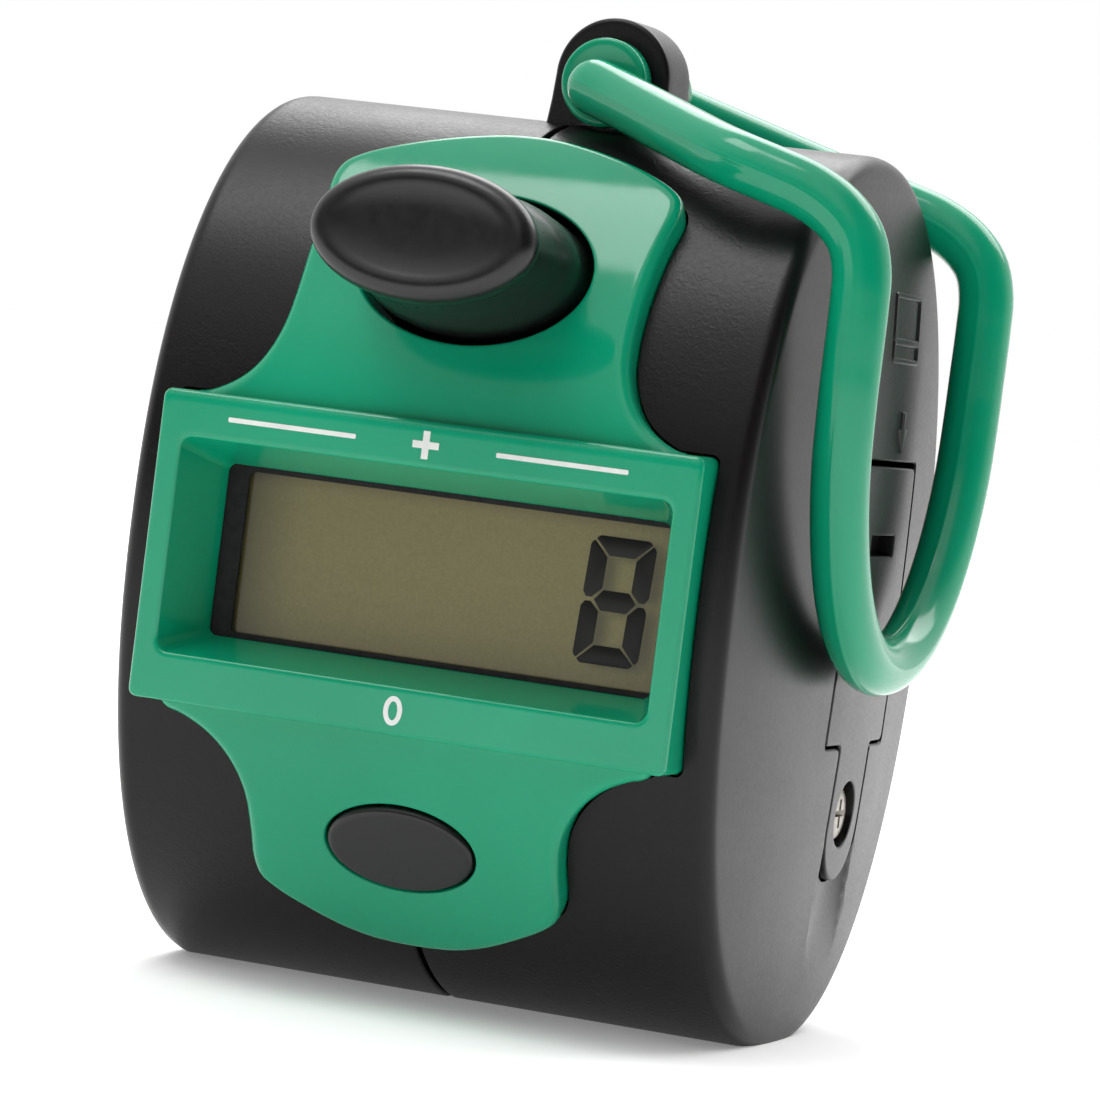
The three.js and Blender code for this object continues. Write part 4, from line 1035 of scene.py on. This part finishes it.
def segments():
    x0, x1, z0, z1, t, g = DX0, DX1, DZ0, DZ1, SEG, GP

    def mirror_z(P):
        return [(x, 2 * ZM - z) for x, z in P][::-1]

    def mirror_x(P):
        return [(x0 + x1 - x, z) for x, z in P][::-1]

    a = [(x0 + t + g, z1 - t), (x1 - t - g, z1 - t), (x1 - 0.28, z1 - 0.2), (x1 - 0.42, z1 - 0.05), (x1 - 0.55, z1), (x0 + 0.55, z1), (x0 + 0.42, z1 - 0.05), (x0 + 0.28, z1 - 0.2)]
    f = [(x0, ZM + g + 0.3), (x0 + 0.2, ZM + g), (x0 + t * 0.5, ZM + g), (x0 + t, ZM + t / 2 + g), (x0 + t, z1 - t - g), (x0 + 0.2, z1 - 0.28), (x0 + 0.05, z1 - 0.42), (x0, z1 - 0.55)]
    m = [(x0 + t * 0.55 + g, ZM), (x0 + t + g, ZM - t / 2 - 0.04), (x1 - t - g, ZM - t / 2 - 0.04), (x1 - t * 0.55 - g, ZM), (x1 - t - g, ZM + t / 2 + 0.04), (x0 + t + g, ZM + t / 2 + 0.04)]
    out = {"a": a, "f": f, "b": mirror_x(f), "g": m, "d": mirror_z(a), "e": mirror_z(f), "c": mirror_x(mirror_z(f))}
    return {k: [(x + SLANT * (z - ZM), z) for x, z in P] for k, P in out.items()}


SEGS = {k: np.array(v) for k, v in segments().items()}
px = 0.06
gx = np.arange(DX0 - 2.2, DX1 + 2.8, px)
gz = np.arange(DZ0 - 2.2, DZ1 + 2.2, px)
XX, ZZ = np.meshgrid(gx, gz)
# Painted shadow of the digits: their coverage on a fine grid, blurred, then read shifted right and down by shadow_at.
cover = np.zeros(XX.shape)
for P in SEGS.values():
    cover = np.maximum(cover, inside(np.stack([XX.ravel(), ZZ.ravel()], 1), P).reshape(XX.shape))
ker = np.exp(-0.5 * (np.arange(-16, 17) * px / 0.24) ** 2)
ker /= ker.sum()
blur = np.apply_along_axis(lambda r_: np.convolve(r_, ker, "same"), 1, cover)
blur = np.apply_along_axis(lambda r_: np.convolve(r_, ker, "same"), 0, blur)


def shadow_at(x, z, dx=0.62, dz=-0.16):
    i = np.clip(((x - dx) - gx[0]) / px, 0, len(gx) - 1).astype(int)
    j = np.clip(((z - dz) - gz[0]) / px, 0, len(gz) - 1).astype(int)
    return blur[j, i]


def lcd_panel():
    x, z0, z1, y0, y1, y2, st = (LCD[k] for k in ("x", "z0", "z1", "y0", "y1", "y2", "step"))
    nx, nz = 192, 86
    X = np.linspace(-x, x, nx)
    Z = np.linspace(z0, z1, nz)
    V = [(a, y0, c) for c in Z for a in X]
    F = [(j * nx + i, j * nx + i + 1, (j + 1) * nx + i + 1, (j + 1) * nx + i) for j in range(nz - 1) for i in range(nx - 1)]
    rim = [i for i in range(nx)] + [j * nx + nx - 1 for j in range(1, nz)] + [(nz - 1) * nx + i for i in range(nx - 2, -1, -1)] + [j * nx for j in range(nz - 2, 0, -1)]
    k = len(V)
    V += [(V[i][0], y1, V[i][2]) for i in rim]
    m = len(rim)
    F += [(rim[i], rim[(i + 1) % m], k + (i + 1) % m, k + i) for i in range(m)]
    V.append((0, y1, (z0 + z1) / 2))
    F += [(k + i, k + (i + 1) % m, len(V) - 1) for i in range(m)]
    front = to_mesh(V, F)
    return front, box(-x, x, y1, y2, st, z1)


front, rear = lcd_panel()
LCD_M = Mat("lcd_reflector", srgb(112, 108, 78), 0.32)
LCD_M.b.inputs["Coat Weight"].default_value = 0.25
LCD_M.b.inputs["Specular IOR Level"].default_value = 0.3
LCD_M.b.inputs["Coat Roughness"].default_value = 0.08
at_ = LCD_M.n.new("ShaderNodeAttribute")
at_.attribute_name = "painted_digit_and_wall_shade"
sp = LCD_M.noise(5200, 2.0, 0.6)
base = LCD_M.mix(LCD_M.remap(sp, 0.3, 0.7, 0, 1), srgb(113, 105, 66), srgb(121, 113, 73))
lo = LCD_M.mix(LCD_M.remap(LCD_M.noise(55, 2.0, 0.5), 0.35, 0.65, 0, 0.25), base, srgb(104, 97, 62))
# The attribute darkens the reflector towards srgb(40, 38, 26): painted shadow of the digits plus painted shade from the
# recess walls.
LCD_M.color(LCD_M.mix(LCD_M.math("MULTIPLY", at_.outputs["Fac"], 0.66), lo, srgb(40, 38, 26)))
LCD_M.bump(LCD_M.noise(9000, 1.0, 0.5), 0.04, 0.00001)
panel = piece("display_panel", front, LCD_M, "casing", ["lcd_panel"], 30, False)
att = panel.data.attributes.new("painted_digit_and_wall_shade", "FLOAT", "POINT")
co = np.array([v.co for v in panel.data.vertices])
x_mm, z_mm = co[:, 0] / MM, co[:, 2] / MM - LIFT
# Painted shade from the recess walls: darkest at the window's left edge and along its top, added to the painted digit
# shadow.
edge = np.clip(1 - (x_mm + 12.1) / 4.2, 0, 1) ** 1.7 * 1.0 + np.clip(1 - (3.75 - z_mm) / 0.8, 0, 1) ** 1.5 * 0.45
att.data.foreach_set("value", np.clip(shadow_at(x_mm, z_mm) + edge, 0, 1.4).astype(np.float32))
piece("display_back_glass", rear, plain("lcd_glass_back", srgb(92, 104, 92), 0.2), "casing", (), 30, False)

for k, P in SEGS.items():
    def lcd_place(u, v, h):
        return u, LCD["y0"] - h, v
    me = slab([(P, 0.005), (P, 0.03), (offset(P, 0.015), 0.036)], lcd_place, [], 0)
    piece("display_segment_" + k, me, INK, "casing", (), 30, False)

gm = skin(loft_rects([((-14.4, 14.4, -7.0, 5.5), 0.4, -17.0), ((-14.4, 14.4, -7.0, 5.5), 0.4, -16.8),
                      ((-12.1, 13.6, -5.42, 3.75), 0.25, -16.8), ((-12.1, 13.6, -5.42, 3.75), 0.25, -16.95), ((-12.16, 13.66, -5.48, 3.81), 0.3, -17.0)], 5, 24, 12), closed=True)
piece("display_mask", gm, plain("gasket_foam", srgb(14, 14, 14), 0.8, 2500, 0.08, 0.4), "casing", ["display_gasket"], 30, False)

# ---------------------------------------------------------------- inner pieces keep their own shape
INNER = {
    "zebra_connector": plain("elastomer", srgb(48, 48, 50), 0.65),
    "circuit_board": plain("fr4_board", srgb(40, 96, 56), 0.45),
    "chip_cover": plain("epoxy_blob", srgb(16, 16, 18), 0.3),
    "count_contact_pad": plain("rubber_pad", srgb(70, 70, 73), 0.75),
    "reset_contact_pad": plain("rubber_pad_b", srgb(70, 70, 73), 0.75),
    "battery_cell": metal("nickel_cell", srgb(198, 200, 203), 0.25),
    "battery_contact_positive": metal("spring_contact", srgb(206, 200, 176), 0.3),
    "battery_contact_negative": metal("spring_contact_b", srgb(206, 200, 176), 0.3),
    "battery_lead_positive": plain("lead_red", srgb(168, 28, 28), 0.45),
    "battery_lead_negative": plain("lead_black", srgb(22, 22, 22), 0.45),
}
for name, m in INNER.items():
    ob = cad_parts[name]
    ob.data.materials.clear()
    ob.data.materials.append(m.m)

# ---------------------------------------------------------------- camera
AZ, EL, ROLL = (math.radians(v) for v in (19.75, 2.35, 7.15))
F_PX, CX, CY, DIST = 5090.0, 543.3, 566.0, 300.0
back = np.array([math.sin(AZ) * math.cos(EL), -math.cos(AZ) * math.cos(EL), math.sin(EL)])
rt = np.array([math.cos(AZ), math.sin(AZ), 0.0])
up = np.cross(back, rt)
cR = rt * math.cos(ROLL) + up * math.sin(ROLL)
cU = up * math.cos(ROLL) - rt * math.sin(ROLL)
# Turned slightly, so that the frame's middle lies where the picture's does and no lens shift is needed.
fwd = -back + cR * ((550 - CX) / F_PX) - cU * ((550 - CY) / F_PX)
fwd /= np.linalg.norm(fwd)
cU = cU - fwd * np.dot(cU, fwd)
cU /= np.linalg.norm(cU)
cR = np.cross(fwd, cU)
cam = bpy.data.cameras.new("camera")
cam.sensor_width = 36.0
cam.lens = F_PX * 36.0 / 1100.0
cam.clip_start, cam.clip_end = 0.01, 20
cam_ob = bpy.data.objects.new("camera", cam)
bpy.context.scene.collection.objects.link(cam_ob)
M = Matrix.Identity(4)
for k, v in enumerate((cR, cU, -fwd)):
    for j in range(3):
        M[j][k] = float(v[j])
loc = back * DIST * MM + np.array([0, 0, LIFT * MM])
for j in range(3):
    M[j][3] = float(loc[j])
cam_ob.matrix_world = M
bpy.context.scene.camera = cam_ob

# ---------------------------------------------------------------- floor and light
fl = skin([[(r * math.cos(a), r * math.sin(a), 0) for a in np.arange(96) / 96 * 2 * math.pi] for r in (9000, 1500, 300, 60)], None, (0, 0, 0))
fl.transform(Matrix.Scale(MM, 4))
floor = bpy.data.objects.new("floor", fl)
FLOOR = Mat("floor_paper", srgb(250, 250, 250), 0.9)
FLOOR.b.inputs["Specular IOR Level"].default_value = 0.0
FLOOR.b.inputs["Emission Color"].default_value = (1, 1, 1, 1)
FLOOR.b.inputs["Emission Strength"].default_value = 0.2
FLOOR.color(FLOOR.mix(FLOOR.noise(12, 2.0), srgb(249, 249, 249), srgb(252, 252, 252)))
fl.materials.append(FLOOR.m)
bpy.context.scene.collection.objects.link(floor)

world = bpy.data.worlds.new("studio")
bpy.context.scene.world = world
world.use_nodes = True
wt = world.node_tree
wt.nodes.clear()
wo = wt.nodes.new("ShaderNodeOutputWorld")
tc = wt.nodes.new("ShaderNodeTexCoord")
sx = wt.nodes.new("ShaderNodeSeparateXYZ")
wt.links.new(tc.outputs["Generated"], sx.inputs[0])


def wmap(v, a, b, c, d):
    x = wt.nodes.new("ShaderNodeMapRange")
    x.interpolation_type = "SMOOTHSTEP"
    for i, k in enumerate((a, b, c, d)):
        x.inputs[i + 1].default_value = k
    wt.links.new(v, x.inputs[0])
    return x.outputs[0]


# The room is white behind and at the sides, and dim on the side the picture is taken from.
front = wmap(sx.outputs[1], -0.75, 0.1, 0.0, 1.0)
high = wmap(sx.outputs[2], 0.15, 0.8, 0.0, 1.0)
both = wt.nodes.new("ShaderNodeMath")
both.operation = "MAXIMUM"
wt.links.new(front, both.inputs[0])
wt.links.new(high, both.inputs[1])
right_side = wmap(sx.outputs[0], 0.05, 0.55, 0.0, 1.0)
near = wmap(sx.outputs[1], -0.2, 0.75, 1.0, 0.0)
shade = wt.nodes.new("ShaderNodeMath")
shade.operation = "MULTIPLY"
wt.links.new(right_side, shade.inputs[0])
wt.links.new(near, shade.inputs[1])
keep = wmap(shade.outputs[0], 0.0, 1.0, 1.0, 0.12)
lift = wmap(both.outputs[0], 0.0, 1.0, 0.17, 1.15)
dim_node = wt.nodes.new("ShaderNodeMath")
dim_node.operation = "MULTIPLY"
wt.links.new(keep, dim_node.inputs[0])
wt.links.new(lift, dim_node.inputs[1])
dim = dim_node.outputs[0]
env = wt.nodes.new("ShaderNodeBackground")
wt.links.new(dim, env.inputs["Strength"])
env.inputs["Color"].default_value = (1, 0.985, 0.985, 1)
seen = wt.nodes.new("ShaderNodeBackground")
seen.inputs["Color"].default_value = (1, 1, 1, 1)
seen.inputs["Strength"].default_value = 1.0
lpn = wt.nodes.new("ShaderNodeLightPath")
mx = wt.nodes.new("ShaderNodeMixShader")
wt.links.new(lpn.outputs["Is Camera Ray"], mx.inputs[0])
wt.links.new(env.outputs[0], mx.inputs[1])
wt.links.new(seen.outputs[0], mx.inputs[2])
wt.links.new(mx.outputs[0], wo.inputs[0])


def softbox(name, at, size, power, target=(0, 0, 0.025), color=(1, 1, 1)):
    d = bpy.data.lights.new(name, "AREA")
    d.shape, d.size, d.size_y = "RECTANGLE", size[0], size[1]
    d.energy, d.color = power, color
    ob = bpy.data.objects.new(name, d)
    bpy.context.scene.collection.objects.link(ob)
    ob.location = at
    ob.rotation_mode = "QUATERNION"
    ob.rotation_quaternion = (Vector(target) - Vector(at)).to_track_quat("-Z", "Y")
    ob.visible_camera = False
    return ob


softbox("key_box", (-0.3, -0.3, 1.05), (0.6, 0.45), 4.4)
softbox("back_box", (0.1, 0.7, 0.8), (1.3, 0.6), 9.5)

sc = bpy.context.scene
sc.view_settings.view_transform = "Standard"
sc.view_settings.look = "None"
sc.view_settings.exposure = 0.0
sc.view_settings.gamma = 1.0
